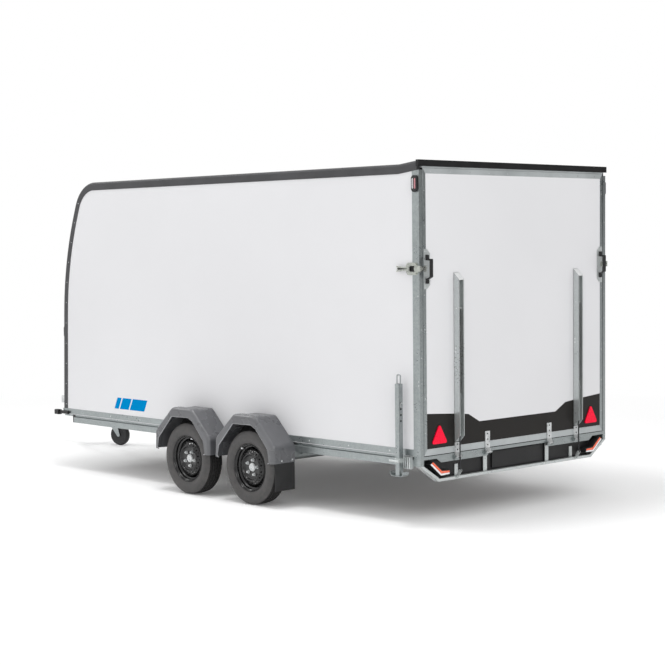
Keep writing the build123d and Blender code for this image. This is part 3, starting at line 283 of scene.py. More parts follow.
def reflexMaterial():
    # red retro-reflective acrylic: rows of tiny prisms under a smooth red skin; their faint glow is painted
    # light, since a reflector is no lamp
    look = {"dark": "#E4002E", "light": "#F4063A", "grain": 12, "rough": (0.3, 0.5), "prism": 4,
        "relief": 0.4}
    # the emission is a painted glow
    shader = {"IOR": 1.49, "Coat Weight": 0.15, "Coat Roughness": 0.1, "Specular IOR Level": 0.1,
        "Emission Color": linear("#FF0830"), "Emission Strength": 0.12}
    material, tree, surface, place = newMaterial("reflexAcrylicPaintedGlow", shader)
    mottle(tree, surface, place, look)
    prisms = addNode(tree, "ShaderNodeTexVoronoi", {"Scale": scaleOf(look["prism"])}, {"Vector": place})
    relief(tree, surface, prisms.outputs[0], look["relief"], 0.6)
    return material


# each finish: two shades and the grain of their mottling in mm, gloss from and to, and as grit the
# size and height of a fine relief in mm

# glass-fibre faced plywood, gel-coated: clean white, soft gloss, a faint ripple of the roller
gelcoat = plainMaterial("gelcoatLaminate",
    {"dark": "#DADADC", "light": "#DDDDDF", "grain": 1400, "rough": (0.4, 0.46), "grit": (12, 0.03)},
    {"IOR": 1.5, "Specular IOR Level": 0.3})
# powder-coated aluminium extrusion: dark grey, fine orange peel
powderCoat = plainMaterial("powderCoatedAluminium",
    {"dark": "#3A3A3C", "light": "#434345", "grain": 250, "rough": (0.42, 0.52), "grit": (2, 0.04)},
    {"IOR": 1.5, "Specular IOR Level": 0.35})
# hot-dip galvanised frame steel: greenish grey crystals about 11 mm across, clouds of thicker zinc
galvanised = galvanisedMaterial("hotDipGalvanisedSteel",
    {"dark": "#8B9192", "light": "#AAB0B0", "spangle": 11, "cloud": 120, "rough": (0.26, 0.42),
        "relief": 0.2, "metallic": 0.9})
# strip-galvanised sheet: paler, finer spangle, smoother
paleZinc = galvanisedMaterial("galvanisedStripSteel",
    {"dark": "#B4B9B9", "light": "#D2D6D5", "spangle": 6, "cloud": 200, "rough": (0.26, 0.4),
        "relief": 0.2, "metallic": 0.6})
# electroplated zinc: brighter and smoother than the dipped frame
brightZinc = plainMaterial("brightZincPlate",
    {"dark": "#B5B8B9", "light": "#D4D6D6", "grain": 50, "rough": (0.24, 0.36), "grit": (6, 0.03)},
    {"Metallic": 0.45})
# passivated zinc on the latches: pressed and bent, so its shine breaks into dark and bright
latchZinc = plainMaterial("passivatedZinc",
    {"dark": "#A5A8A2", "light": "#BCBFB8", "grain": 30, "rough": (0.22, 0.34), "grit": (10, 0.04)},
    {"Metallic": 0.9})
# extruded aluminium as it leaves the die: pale, satin, drawn along its length
millAluminium = plainMaterial("millAluminium",
    {"dark": "#A9AEAF", "light": "#B9BEBF", "grain": 200, "rough": (0.34, 0.46), "grit": (4, 0.03)},
    {"Metallic": 0.35})
# blackened fasteners; also painted shade, as dark discs and sheets in the legs' bores and the latches'
# well, groove and holes
blackSteelAndShade = plainMaterial("blackenedSteelAndPaintedShade",
    {"dark": "#141415", "light": "#202021", "grain": 10, "rough": (0.4, 0.6), "grit": (2, 0.05)},
    {"Metallic": 0.4})
# injection-moulded polypropylene: dark grey with a leathery grain that takes a soft sheen
fenderPlastic = plainMaterial("mouldedPolypropylene",
    {"dark": "#545558", "light": "#5B5C5F", "grain": 150, "rough": (0.26, 0.3), "grit": (3.5, 0.01)},
    {"IOR": 1.49, "Specular IOR Level": 0.8})
# the same plastic made pale for the bead round each wheel opening: a painted highlight where its rounded
# edge catches the light
fenderEdgeHighlight = plainMaterial("polypropyleneEdgeHighlight",
    {"dark": "#929396", "light": "#A6A7AA", "grain": 60, "rough": (0.3, 0.4), "grit": (3.5, 0.05)},
    {"IOR": 1.49})
# moulded ABS trim: near black, satin
blackAbs = plainMaterial("mouldedAbs",
    {"dark": "#181819", "light": "#202021", "grain": 60, "rough": (0.38, 0.5), "grit": (3, 0.08)},
    {"IOR": 1.53, "Specular IOR Level": 0.35})
# the strut covers' upward-facing caps: the cover's sheet made nearly white, a painted highlight of the open
# sky above
capPaintedHighlight = plainMaterial("capPaintedHighlight",
    {"dark": "#DDDFDF", "light": "#E8E9E9", "grain": 80, "rough": (0.3, 0.38), "grit": (6, 0.02)},
    {"Metallic": 0.15})
# moulded weather lip: black rubber, dull
lipRubber = plainMaterial("weatherLipRubber",
    {"dark": "#121213", "light": "#19191A", "grain": 80, "rough": (0.45, 0.6), "grit": (4, 0.1)},
    {"IOR": 1.5, "Specular IOR Level": 0.3})
# road rubber: charcoal, dusty on the high spots
tyreRubber = plainMaterial("tyreRubber",
    {"dark": "#3B3A3A", "light": "#4A4847", "grain": 35, "rough": (0.5, 0.68), "grit": (4, 0.12)},
    {"IOR": 1.52})
# tread compound: darker than the walls, over the whole tread band
treadRubber = plainMaterial("treadRubber",
    {"dark": "#1F1F1F", "light": "#2B2A2A", "grain": 30, "rough": (0.6, 0.78), "grit": (4, 0.12)},
    {"IOR": 1.5, "Specular IOR Level": 0.3})
# rubber sheet and soft rubber mouldings
softRubber = plainMaterial("rubberSheet",
    {"dark": "#1C1C1D", "light": "#272728", "grain": 50, "rough": (0.5, 0.66), "grit": (5, 0.1)},
    {"IOR": 1.52})
# electro-coated pressed steel: gloss black with a little flow in the paint
rimPaint = plainMaterial("electroCoatedSteel",
    {"dark": "#09090A", "light": "#0F0F10", "grain": 50, "rough": (0.2, 0.28), "grit": (6, 0.05)},
    {"IOR": 1.5, "Specular IOR Level": 0.35, "Coat Weight": 0.35, "Coat Roughness": 0.12})
# cast brake drum: open grain, dull
castIron = plainMaterial("castIron",
    {"dark": "#2A2A2B", "light": "#3E3D3C", "grain": 20, "rough": (0.6, 0.8), "grit": (3, 0.2)},
    {"Metallic": 0.3})
# brushed-on chassis paint
chassisPaint = plainMaterial("chassisPaint",
    {"dark": "#161617", "light": "#212122", "grain": 50, "rough": (0.35, 0.5), "grit": (4, 0.1)},
    {"IOR": 1.5})
# phenolic-faced birch plywood: dark brown with a fine wire mesh print
floorPly = plainMaterial("phenolicPlywood",
    {"dark": "#3A2A20", "light": "#4A372B", "grain": 150, "rough": (0.4, 0.55), "grit": (5, 0.2)},
    {"IOR": 1.5})
# ground piston rod: dark nitrided steel
rodSteel = plainMaterial("nitridedRod",
    {"dark": "#303133", "light": "#3E3F41", "grain": 100, "rough": (0.15, 0.22)}, {"Metallic": 0.8})
# cast vinyl film: flat colour with a light satin, following the faint waves of the panel
blackFilm = plainMaterial("vinylFilmBlack",
    {"dark": "#1A1715", "light": "#1E1B19", "grain": 500, "rough": (0.32, 0.4), "grit": (20, 0.02)},
    {"IOR": 1.5, "Specular IOR Level": 0.22})
blueFilm = plainMaterial("vinylFilmBlue",
    {"dark": "#0382C0", "light": "#0486C4", "grain": 300, "rough": (0.4, 0.46), "grit": (20, 0.02)},
    {"IOR": 1.5, "Specular IOR Level": 0.0})
# marker lens: white acrylic, greyed by the dark ring behind it
smokedLens = plainMaterial("frostedAcrylic",
    {"dark": "#A9A9AB", "light": "#BDBDBF", "grain": 8, "rough": (0.2, 0.3), "grit": (3, 0.2)},
    {"IOR": 1.49, "Coat Weight": 0.4})
redLens = reflexMaterial()
# tail lamp and marker lenses: orange-red, white and pale red acrylic over a bright reflector
amberLens = plainMaterial("orangeRedAcrylic",
    {"dark": "#E8502A", "light": "#F26A3E", "grain": 10, "rough": (0.15, 0.25), "grit": (3, 0.2)},
    {"IOR": 1.49, "Coat Weight": 0.5})
clearLens = plainMaterial("clearAcrylic",
    {"dark": "#DCDEE0", "light": "#F4F5F6", "grain": 8, "rough": (0.1, 0.2), "grit": (3, 0.2)},
    {"IOR": 1.49, "Coat Weight": 0.5})
pinkLens = plainMaterial("paleRedAcrylic",
    {"dark": "#A8646B", "light": "#BD8288", "grain": 8, "rough": (0.12, 0.22), "grit": (3, 0.2)},
    {"IOR": 1.49, "Coat Weight": 0.5})
print("materials ready")

# parts that keep their own shape; the others are replaced by the pieces built further down
finishes = {
    gelcoat: ("side_walls", "roof", "front_wall"),
    powderCoat: ("edge_profiles",),
    galvanised: ("rear_posts", "rear_sill", "front_rail", "crossmembers", "drawbar_arms", "axle_tubes",
        "support_leg_left", "support_leg_right", "jockey_tube", "jockey_fork"),
    paleZinc: ("rear_bumper", "leg_clamps"),
    brightZinc: ("coupling_head", "ramp_hinges", "jockey_crank", "handbrake_lever"),
    fenderPlastic: ("fenders",),
    blackAbs: ("bumper_infill", "plate_holder", "front_handles", "marker_lamps", "tail_lamps"),
    redLens: ("reflectors",),
    softRubber: ("mud_flaps", "jockey_wheel", "overrun_bellows", "rail_caps"),
    chassisPaint: ("swing_arms", "overrun_device", "strut_cylinder_left", "strut_cylinder_right"),
    rodSteel: ("strut_rod_left", "strut_rod_right"),
    floorPly: ("floor",),
}
for material, names in finishes.items():
    for name in names:
        nodes[name].data.materials.clear()
        nodes[name].data.materials.append(material)
print("finishes on the parts")


def buildStage():
    # paper floor that runs out to plain white, four soft panels, and a room with a dark end
    studio = {"floorSize": 90.0, "whiteOut": (4.2, 8.0), "fill": 0.8, "lookAt": (0, 0, 1),
        "room": (0.95, 0.06),
        "paper": {"dark": "#F6F6F6", "light": "#F9F9F9", "grain": 1500, "rough": (0.88, 0.94)},
        "darkEnd": (-0.68, -0.73, -0.08), "darkSpan": (0.34, 0.86)}
    bpy.ops.mesh.primitive_plane_add(size=studio["floorSize"], location=(0, 0, 0))
    floor = bpy.context.object
    floor.name = "studioFloor"
    paper = {"Specular IOR Level": 0.1, "Emission Color": (1, 1, 1, 1), "Emission Strength": 0.08}
    material, tree, surface, place = newMaterial("studioPaper", paper)
    mottle(tree, surface, place, studio["paper"])
    distance = addNode(tree, "ShaderNodeVectorMath", {"operation": "LENGTH"}, {0: place})
    near, far = studio["whiteOut"]
    fade = {1: near, 2: far, 3: 0.0, 4: 1.0}
    share = addNode(tree, "ShaderNodeMapRange", fade, {0: distance.outputs["Value"]})
    glow = addNode(tree, "ShaderNodeEmission", {"Color": (1, 1, 1, 1), "Strength": 1.0})
    sources = {0: share.outputs[0], 1: surface.outputs[0], 2: glow.outputs[0]}
    blend = addNode(tree, "ShaderNodeMixShader", {}, sources)
    tree.links.new(blend.outputs[0], tree.nodes["Material Output"].inputs["Surface"])
    floor.data.materials.append(material)
    buildSky(studio)
    lights = (
        {"name": "keyPanel", "at": (2.5, 8.5, 7.0), "size": 2.4, "power": 74.0},
        {"name": "rearPanel", "at": (-9.0, 3.5, 5.5), "size": 3.5, "power": 130.0},
        {"name": "topPanel", "at": (-1.0, 1.5, 8.0), "size": 2.2, "power": 225.0},
        {"name": "frontPanel", "at": (5.5, 2.6, 6.2), "size": 2.2, "power": 60.0},
    )
    for lamp in lights:
        data = bpy.data.lights.new(lamp["name"], "AREA")
        data.size = lamp["size"]
        data.energy = lamp["power"]
        body = bpy.data.objects.new(lamp["name"], data)
        bpy.context.scene.collection.objects.link(body)
        body.location = lamp["at"]
        way = Vector(studio["lookAt"]) - Vector(lamp["at"])
        body.rotation_euler = way.to_track_quat("-Z", "Y").to_euler()
    bpy.context.scene.view_settings.view_transform = "Standard"


def buildSky(studio):
    # even fill for matt surfaces; what gloss mirrors is a room whose far right end is dark
    world = bpy.data.worlds.new("studioSky")
    bpy.context.scene.world = world
    world.use_nodes = True
    tree = world.node_tree
    white = (1.0, 1.0, 1.0, 1.0)
    fill = tree.nodes["Background"]
    fill.inputs["Color"].default_value = white
    fill.inputs["Strength"].default_value = studio["fill"]
    way = addNode(tree, "ShaderNodeTexCoord").outputs["Generated"]
    end = Vector(studio["darkEnd"]).normalized()
    toward = addNode(tree, "ShaderNodeVectorMath", {"operation": "DOT_PRODUCT", 1: end}, {0: way})
    first, last = studio["darkSpan"]
    bright, dark = studio["room"]
    tones = {1: first, 2: last, 3: bright, 4: dark}
    tone = addNode(tree, "ShaderNodeMapRange", tones, {0: toward.outputs["Value"]})
    room = addNode(tree, "ShaderNodeBackground", {"Color": white}, {"Strength": tone.outputs[0]})
    paper = addNode(tree, "ShaderNodeBackground", {"Color": white, "Strength": 1.0})
    rays = addNode(tree, "ShaderNodeLightPath")
    sources = {0: rays.outputs["Is Glossy Ray"], 1: fill.outputs[0], 2: room.outputs[0]}
    lit = addNode(tree, "ShaderNodeMixShader", {}, sources)
    sources = {0: rays.outputs["Is Camera Ray"], 1: lit.outputs[0], 2: paper.outputs[0]}
    seen = addNode(tree, "ShaderNodeMixShader", {}, sources)
    tree.links.new(seen.outputs[0], tree.nodes["World Output"].inputs["Surface"])


def buildCamera():
    # where the camera stands from the middle of the rear face's foot, in metres and degrees
    view = {"back": 7.5445, "left": 9.0088, "height": 1.9822, "yaw": -43.5, "pitch": -3.72, "roll": -0.61,
        "lens": 86.17, "film": 36.0, "shift": (-0.0049, 0.0198)}
    data = bpy.data.cameras.new("viewCamera")
    data.lens = view["lens"]
    data.sensor_width = view["film"]
    data.shift_x, data.shift_y = view["shift"]
    camera = bpy.data.objects.new("viewCamera", data)
    bpy.context.scene.collection.objects.link(camera)
    yaw, pitch, roll = (math.radians(view[key]) for key in ("yaw", "pitch", "roll"))
    flat = math.cos(pitch)
    forward = Vector((flat * math.cos(yaw), flat * math.sin(yaw), math.sin(pitch)))
    level = Vector((math.sin(yaw), -math.cos(yaw), 0))
    up = level.cross(forward)
    right = math.cos(roll) * level + math.sin(roll) * up
    top = math.cos(roll) * up - math.sin(roll) * level
    turn = Matrix((right, top, -forward)).transposed().to_4x4()
    place = Vector((rearFace - view["back"], view["left"], view["height"]))
    camera.matrix_world = Matrix.Translation(place) @ turn
    bpy.context.scene.camera = camera


buildStage()
buildCamera()
print("stage and camera ready")


def edgeLine(inset):
    # the shell's side outline from the foot of the front wall to the rear, moved in by inset
    shape = {"lean": 2.1, "rake": 22.0, "kneeHeight": 1.84, "kneeRadius": 2.6, "crownRadius": 0.3,
        "flareStart": 0.2, "flareRise": 0.024, "steps": 12}
    kneeHeight, top = shape["kneeHeight"], roofTop - shape["flareRise"]
    kneeX = frontFoot - math.tan(math.radians(shape["lean"])) * (kneeHeight - railTop)
    crownX = kneeX - math.tan(math.radians(shape["rake"])) * (top - kneeHeight)
    foot, knee, crown = Vector((frontFoot, railTop)), Vector((kneeX, kneeHeight)), Vector((crownX, top))
    flare, rear = Vector((rearFace + shape["flareStart"], top)), Vector((rearFace, roofTop))
    line = [foot] + roundCorner(foot, knee, crown, shape["kneeRadius"], shape["steps"])
    line += roundCorner(knee, crown, flare, shape["crownRadius"], shape["steps"]) + [flare, rear]
    moved = []
    for before, point, after in zip(line[:1] + line, line, line[1:] + line[-1:]):
        way = (after - before).normalized()
        moved.append(point + Vector((-way.y, way.x)) * inset)
    return moved


def stepsAlong(line, spacing, start):
    # evenly spaced points along a line
    spots, left = [], start
    for a, b in zip(line, line[1:]):
        length = (b - a).length
        while left <= length:
            spots.append(a.lerp(b, left / length))
            left += spacing
        left -= length
    return spots


def evenly(first, last, spacing):
    # places a spacing apart, from first up to last
    return [first + spacing * i for i in range(math.ceil((last - first) / spacing))]


def buildRivets():
    # rivets along the edge profiles and down the rear posts, screws along the frame and round the ramp;
    # each head is its radius and height
    rivets = {"edgeInset": 0.045, "edgeSpacing": 0.18, "edgeStart": 0.09, "edgeHead": (0.0042, 0.0016),
        "roofZone": 0.12, "postEdge": 0.014, "postSide": (2.219, 1.605, 1.235, 1.012, 0.984),
        "postInset": 0.016, "postRear": (2.114, 1.561, 1.372, 1.175, 0.998), "sideHead": (0.005, 0.002),
        "rearHead": (0.004, 0.0018), "wallEnds": (0.3, 0.1), "wallSpacing": 0.42, "wallRise": 0.024,
        "wallHead": (0.006, 0.0025), "rampRise": 0.16, "rampSpacing": 0.24, "rampInset": 0.014,
        "headerEnd": 0.1, "headerSpacing": 0.205, "headerRise": 0.018}
    rear = (-1, 0, 0)
    front, roof, steel, ramp = bmesh.new(), bmesh.new(), bmesh.new(), bmesh.new()
    for spot in stepsAlong(edgeLine(rivets["edgeInset"]), rivets["edgeSpacing"], rivets["edgeStart"]):
        mesh = front if spot.y < roofTop - rivets["roofZone"] else roof
        for y in bothSides(bodyHalf):
            addDome(mesh, (spot.x, y, spot.y), (0, y, 0), *rivets["edgeHead"])
    finishPiece("edgeRivets", front, paleZinc, "chassis")
    finishPiece("roofRivets", roof, powderCoat, "chassis")
    for side in (1, -1):
        for z in rivets["postSide"]:
            spot = (rearFace + rivets["postEdge"], side * bodyHalf, z)
            addDome(steel, spot, (0, side, 0), *rivets["sideHead"])
        for z in rivets["postRear"]:
            spot = (rearFace, side * (bodyHalf - rivets["postInset"]), z)
            addDome(steel, spot, rear, *rivets["rearHead"])
    first, last = rivets["wallEnds"]
    for x in evenly(rearFace + first, frontFoot - last, rivets["wallSpacing"]):
        for y in bothSides(bodyHalf):
            addDome(steel, (x, y, railTop + rivets["wallRise"]), (0, y, 0), *rivets["wallHead"])
    finishPiece("frameScrews", steel, brightZinc, "chassis")
    for z in evenly(rampLow + rivets["rampRise"], rampHigh, rivets["rampSpacing"]):
        for y in bothSides(rampHalf - rivets["rampInset"]):
            addDome(ramp, (rearFace, y, z), rear, *rivets["rearHead"])
    for y in evenly(rivets["headerEnd"] - rampHalf, rampHalf, rivets["headerSpacing"]):
        addDome(ramp, (rearFace, y, rampHigh + rivets["headerRise"]), rear, *rivets["rearHead"])
    finishPiece("rampScrews", ramp, brightZinc, "ramp")


def throughThree(a, b, c, count):
    # points on the round arc from a through b to c
    ax, ay, bx, by, cx, cy = *a, *b, *c
    d = 2 * (ax * (by - cy) + bx * (cy - ay) + cx * (ay - by))
    aa, bb, cc = ax * ax + ay * ay, bx * bx + by * by, cx * cx + cy * cy
    ux = (aa * (by - cy) + bb * (cy - ay) + cc * (ay - by)) / d
    uy = (aa * (cx - bx) + bb * (ax - cx) + cc * (bx - ax)) / d
    radius = math.hypot(ax - ux, ay - uy)
    first, middle, last = (math.atan2(y - uy, x - ux) for x, y in (a, b, c))
    swing = (last - first + math.pi) % math.tau - math.pi
    inner = (middle - first + math.pi) % math.tau - math.pi
    if swing * inner < 0:
        swing -= math.copysign(math.tau, swing)
    turns = [first + swing * i / count for i in range(count + 1)]
    return [(ux + radius * math.cos(a), uy + radius * math.sin(a)) for a in turns]


def wheelPlaces():
    # each wheel's middle, its outward side and the ends of its names
    for end in ("rear", "front"):
        for out, side in sides:
            low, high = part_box(f"tyre_{end}_{side}")
            yield (low + high) / 2, out, f"{end}_{side}"


def roundAxle(centre, radius, angle, depth):
    # a point at a radius and angle about a wheel's axle, and a depth along it
    return (centre.x + radius * math.cos(angle), centre.y + depth, centre.z + radius * math.sin(angle))


def addRevolved(mesh, centre, out, section, steps, closed=True):
    # a section of (radius, depth towards the outside) turned about a wheel's axle
    rows = []
    for i in range(steps):
        a = math.tau * i / steps
        rows.append([mesh.verts.new(roundAxle(centre, r, a, out * y)) for r, y in section])
    count = len(section)
    for row, after in zip(rows, rows[1:] + rows[:1]):
        for k in range(count if closed else count - 1):
            j = (k + 1) % count
            mesh.faces.new((row[k], row[j], after[j], after[k]))


def tyreSection(tyre):
    # the tyre's closed section as (radius, depth, kind): outer wall, tread, inner wall, beads
    wall = throughThree((tyre["lip"], tyre["beadHalf"]), tyre["bulge"], tyre["shoulder"], tyre["wallSteps"])
    section = [(r, y + tyre["rings"].get(i, 0.0), "wall") for i, (r, y) in enumerate(wall)]
    across = [(y, "rib") for y in tyre["shoulderRib"]]
    wide, edge = tyre["grooveHalf"], tyre["grooveHalf"] + tyre["ribEdge"]
    narrow = wide * tyre["grooveTaper"]
    for g in tyre["grooves"]:
        across += [(g + edge, "rib"), (g + narrow, "groove"), (g - narrow, "groove"), (g - edge, "rib")]
    across += [(-y, "rib") for y in reversed(tyre["shoulderRib"])]
    camber = (tyre["shoulder"][1] ** 2 + tyre["drop"] ** 2) / (2 * tyre["drop"])
    for y, kind in across:
        cut = tyre["grooveDepth"] if kind == "groove" else 0.0
        section.append((tyre["radius"] - camber + math.sqrt(camber ** 2 - y * y) - cut, y, kind))
    section += [(r, -y, kind) for r, y, kind in reversed(section[:len(wall)])]
    bead = [(tyre["lip"], -tyre["lipHalf"], "bead"), (tyre["seat"], -tyre["seatHalf"], "bead")]
    return section + bead + [(r, -y, kind) for r, y, kind in reversed(bead)]


def buildTyres():
    # tread ribs with four round grooves, sipes across the ribs, moulded rings on the walls
    tyre = {"radius": 0.2838, "lip": 0.1830, "lipHalf": 0.058, "seat": 0.166, "seatHalf": 0.05,
        "beadHalf": 0.0655, "bulge": (0.238, 0.0812), "shoulder": (0.2788, 0.0600), "drop": 0.005,
        "wallSteps": 22, "rings": {2: 0.0012, 3: 0.0012, 9: 0.0006, 14: 0.0008, 15: 0.0008, 19: -0.001},
        "shoulderRib": (0.0585, 0.052), "grooves": (0.039, 0.0135, -0.0135, -0.039), "grooveHalf": 0.005,
        "grooveTaper": 0.7, "ribEdge": 0.0008, "grooveDepth": 0.008, "pitches": 64, "sipeDepth": 0.003,
        "shoulderSipes": 0.045, "treadDepth": 0.012}
    section = tyreSection(tyre)
    steps = tyre["pitches"] * 4
    for centre, _, name in wheelPlaces():
        rings = []
        for i in range(steps):
            ring = []
            for r, y, kind in section:
                lag = 2 if abs(y) > tyre["shoulderSipes"] else 0
                sipe = tyre["sipeDepth"] if kind == "rib" and (i + lag) % 4 == 0 else 0.0
                ring.append(roundAxle(centre, r - sipe, math.tau * i / steps, y))
            rings.append(ring)
        mesh = bmesh.new()
        addRings(mesh, rings, closed=True, capped=False)
        piece = finishPiece(f"treadedTyre_{name}", mesh, tyreRubber, f"wheel_{name}", 28)
        piece.data.materials.append(treadRubber)
        low, half = tyre["radius"] - tyre["treadDepth"], tyre["shoulder"][1] + 0.001
        for face in piece.data.polygons:
            spot = face.center - centre
            if math.hypot(spot.x, spot.z) > low and abs(spot.y) < half:
                face.material_index = 1
        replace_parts(piece, f"tyre_{name}")


def addVentRing(mesh, centre, out, ring):
    # the disc's outer slope, pierced by a row of round vents with short turned-in edges
    (innerAt, innerDepth), (outerAt, outerDepth) = ring["inner"], ring["outer"]
    middle, halfWide = (innerAt + outerAt) / 2, (outerAt - innerAt) / 2
    halfTurn, steps = math.pi / ring["count"], ring["steps"]

    def place(across, along, turn, sink):
        r = middle + across
        depth = innerDepth + (r - innerAt) / (outerAt - innerAt) * (outerDepth - innerDepth) - sink
        return mesh.verts.new(roundAxle(centre, r, turn + along / middle, out * depth))

    for n in range(ring["count"]):
        turn = 2 * halfTurn * n
        rows = [[], [], []]
        for k in range(steps):
            a = math.tau * (k + 0.5) / steps
            c, s = math.cos(a), math.sin(a)
            edge = min(halfWide / max(abs(c), 1e-6), halfTurn * middle / max(abs(s), 1e-6))
            reaches = ((edge, 0.0), (ring["vent"], 0.0), (ring["vent"], ring["turnedIn"]))
            for row, (reach, sink) in zip(rows, reaches):
                row.append(place(c * reach, s * reach, turn, sink))
        for first, second in zip(rows, rows[1:]):
            for k in range(steps):
                j = (k + 1) % steps
                mesh.faces.new((first[k], first[j], second[j], second[k]))


def buildRims():
    # pressed steel wheel: curled flange, stepped barrel, deep dished disc with a ring of vents;
    # each outline is (radius, depth towards the outside) from the tyre's middle
    rim = {
        "back": ((0.1300, 0.0360), (0.1400, 0.0260), (0.1400, 0.0020), (0.1420, -0.0080), (0.1450, -0.0120),
            (0.1600, -0.0280), (0.1610, -0.0480), (0.1720, -0.0560), (0.1740, -0.0620), (0.1790, -0.0660),
            (0.1822, -0.0640), (0.1822, -0.0600), (0.1760, -0.0560), (0.1655, -0.0500), (0.1640, -0.0300),
            (0.1500, -0.0140), (0.1500, 0.0140), (0.1545, 0.0230), (0.1620, 0.0300), (0.1675, 0.0330),
            (0.1690, 0.0500), (0.1770, 0.0550)),
        "front": ((0.1805, 0.0585), (0.1822, 0.0610), (0.1822, 0.0640), (0.1795, 0.0662), (0.1765, 0.0650),
            (0.1750, 0.0605), (0.1735, 0.0560), (0.1690, 0.0530), (0.1655, 0.0505), (0.1645, 0.0400),
            (0.1635, 0.0330), (0.1580, 0.0300), (0.1500, 0.0230), (0.1465, 0.0150), (0.1455, 0.0050),
            (0.1430, 0.0080), (0.1425, 0.0200), (0.1400, 0.0300), (0.1350, 0.0370), (0.1300, 0.0400)),
        "hub": ((0.1065, 0.0520), (0.1045, 0.0538), (0.1010, 0.0548), (0.0975, 0.0535), (0.0955, 0.0505),
            (0.0930, 0.0450), (0.0885, 0.0385), (0.0830, 0.0350), (0.0760, 0.0340), (0.0400, 0.0345),
            (0.0345, 0.0345), (0.0330, 0.0335), (0.0330, 0.0302), (0.0800, 0.0302), (0.0900, 0.0350),
            (0.1000, 0.0500)),
        "vents": {"inner": (0.1065, 0.0520), "outer": (0.1300, 0.0400), "count": 15, "vent": 0.0068,
            "turnedIn": 0.004, "steps": 16},
        "offset": 0.005, "steps": 96}
    for middle, out, name in wheelPlaces():
        centre = middle + Vector((0, out * rim["offset"], 0))
        mesh = bmesh.new()
        addRevolved(mesh, centre, out, rim["back"] + rim["front"], rim["steps"], closed=False)
        addRevolved(mesh, centre, out, rim["hub"], rim["steps"], closed=False)
        addVentRing(mesh, centre, out, rim["vents"])
        piece = finishPiece(f"pressedRim_{name}", mesh, rimPaint, f"wheel_{name}", 50)
        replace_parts(piece, f"rim_{name}")


def buildDrums():
    # cast hub and brake drum behind the dished disc, with a raised band at its open end
    drum = {"front": ((0.020, 0.0405), (0.0322, 0.0405), (0.0322, 0.0345), (0.0750, 0.0345),
            (0.0780, 0.0300), (0.1000, 0.0200), (0.1080, 0.0160), (0.1120, 0.0080)),
        "radius": 0.112, "band": 0.116, "bandWide": 0.014, "step": 0.002, "hub": 0.020}
    for centre, out, name in wheelPlaces():
        low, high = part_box(f"hub_drum_{name}")
        back = -abs((low.y if out > 0 else high.y) - centre.y)
        edge = back + drum["bandWide"]
        rear = ((drum["radius"], edge + drum["step"]), (drum["band"], edge), (drum["band"], back))
        mesh = bmesh.new()
        addRevolved(mesh, centre, out, drum["front"] + rear + ((drum["hub"], back),), 64)
        piece = finishPiece(f"brakeDrum_{name}", mesh, castIron, f"wheel_{name}", 40)
        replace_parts(piece, f"hub_drum_{name}")


def buildWheelTrim():
    # wheel nuts, hub cap and valve on each wheel; each profile is (radius, height) from its foot
    trim = {"studCircle": 0.058, "nuts": 5, "nutRadius": 0.0105, "nutLength": 0.017, "flange": 0.0035,
        "capRadius": 0.031, "capDepth": 0.009, "face": 0.0395, "nutTurn": {"rear": 30, "front": 48},
        "valveAt": 0.158, "valveFoot": 0.026, "valveLean": 0.3, "valveTurn": {"rear": 56, "front": 108},
        "valve": ((0.0085, -0.008), (0.0085, 0.004), (0.0055, 0.010), (0.0055, 0.028)),
        "valveCap": ((0.0062, 0.0275), (0.0068, 0.029), (0.0068, 0.040), (0.0045, 0.043))}
    r, h, wide = trim["nutRadius"], trim["nutLength"], trim["nutRadius"] + trim["flange"]
    nut = [(wide, -0.001), (wide, 0.002), (r, 0.003), (r, h - 0.002), (r - 0.002, h)]
    stud = [(0.0055, 0), (0.0055, h + 0.003), (0.004, h + 0.004)]
    r, d = trim["capRadius"], trim["capDepth"]
    cap = [(r + 0.002, -0.002), (r + 0.002, 0.001), (r, 0.002), (r, d - 0.003), (r - 0.003, d),
        (0.004, d + 0.001)]
    for centre, out, name in wheelPlaces():
        end, outward = name.split("_")[0], (0, out, 0)
        mesh = bmesh.new()
        for i in range(trim["nuts"]):
            a = math.tau * i / trim["nuts"] + math.radians(trim["nutTurn"][end])
            spot = roundAxle(centre, trim["studCircle"], a, out * trim["face"])
            addTurned(mesh, spot, outward, nut, 6)
            addTurned(mesh, spot, outward, stud, 12)
        addTurned(mesh, roundAxle(centre, 0, 0, out * trim["face"]), outward, cap, 40)
        finishPiece(f"wheelNuts_{name}", mesh, brightZinc, f"wheel_{name}", 30)
        a = math.radians(trim["valveTurn"][end])
        foot = roundAxle(centre, trim["valveAt"], a, out * trim["valveFoot"])
        lean = (trim["valveLean"] * math.cos(a), out, trim["valveLean"] * math.sin(a))
        mesh = bmesh.new()
        addTurned(mesh, foot, lean, trim["valve"], 14)
        finishPiece(f"valveStem_{name}", mesh, softRubber, f"wheel_{name}", 30)
        mesh = bmesh.new()
        addTurned(mesh, foot, lean, trim["valveCap"], 12)
        finishPiece(f"valveCap_{name}", mesh, clearLens, f"wheel_{name}", 30)


rearEnd = {"seam": 0.005, "topSeam": 0.0015, "headerShow": 0.011, "stopDepth": 0.025, "lipOver": 0.0005,
    "topBar": 0.038, "sideBar": 0.030, "footBar": 0.045, "thick": 0.030, "recess": 0.0015, "skinLap": 0.010,
    "skinBack": 0.022, "treadBack": 0.027, "treadGap": 0.002, "seal": (0.003, 0.018), "sealGap": 0.0006,
    "sealWide": 0.0042, "sealClear": 0.0002}


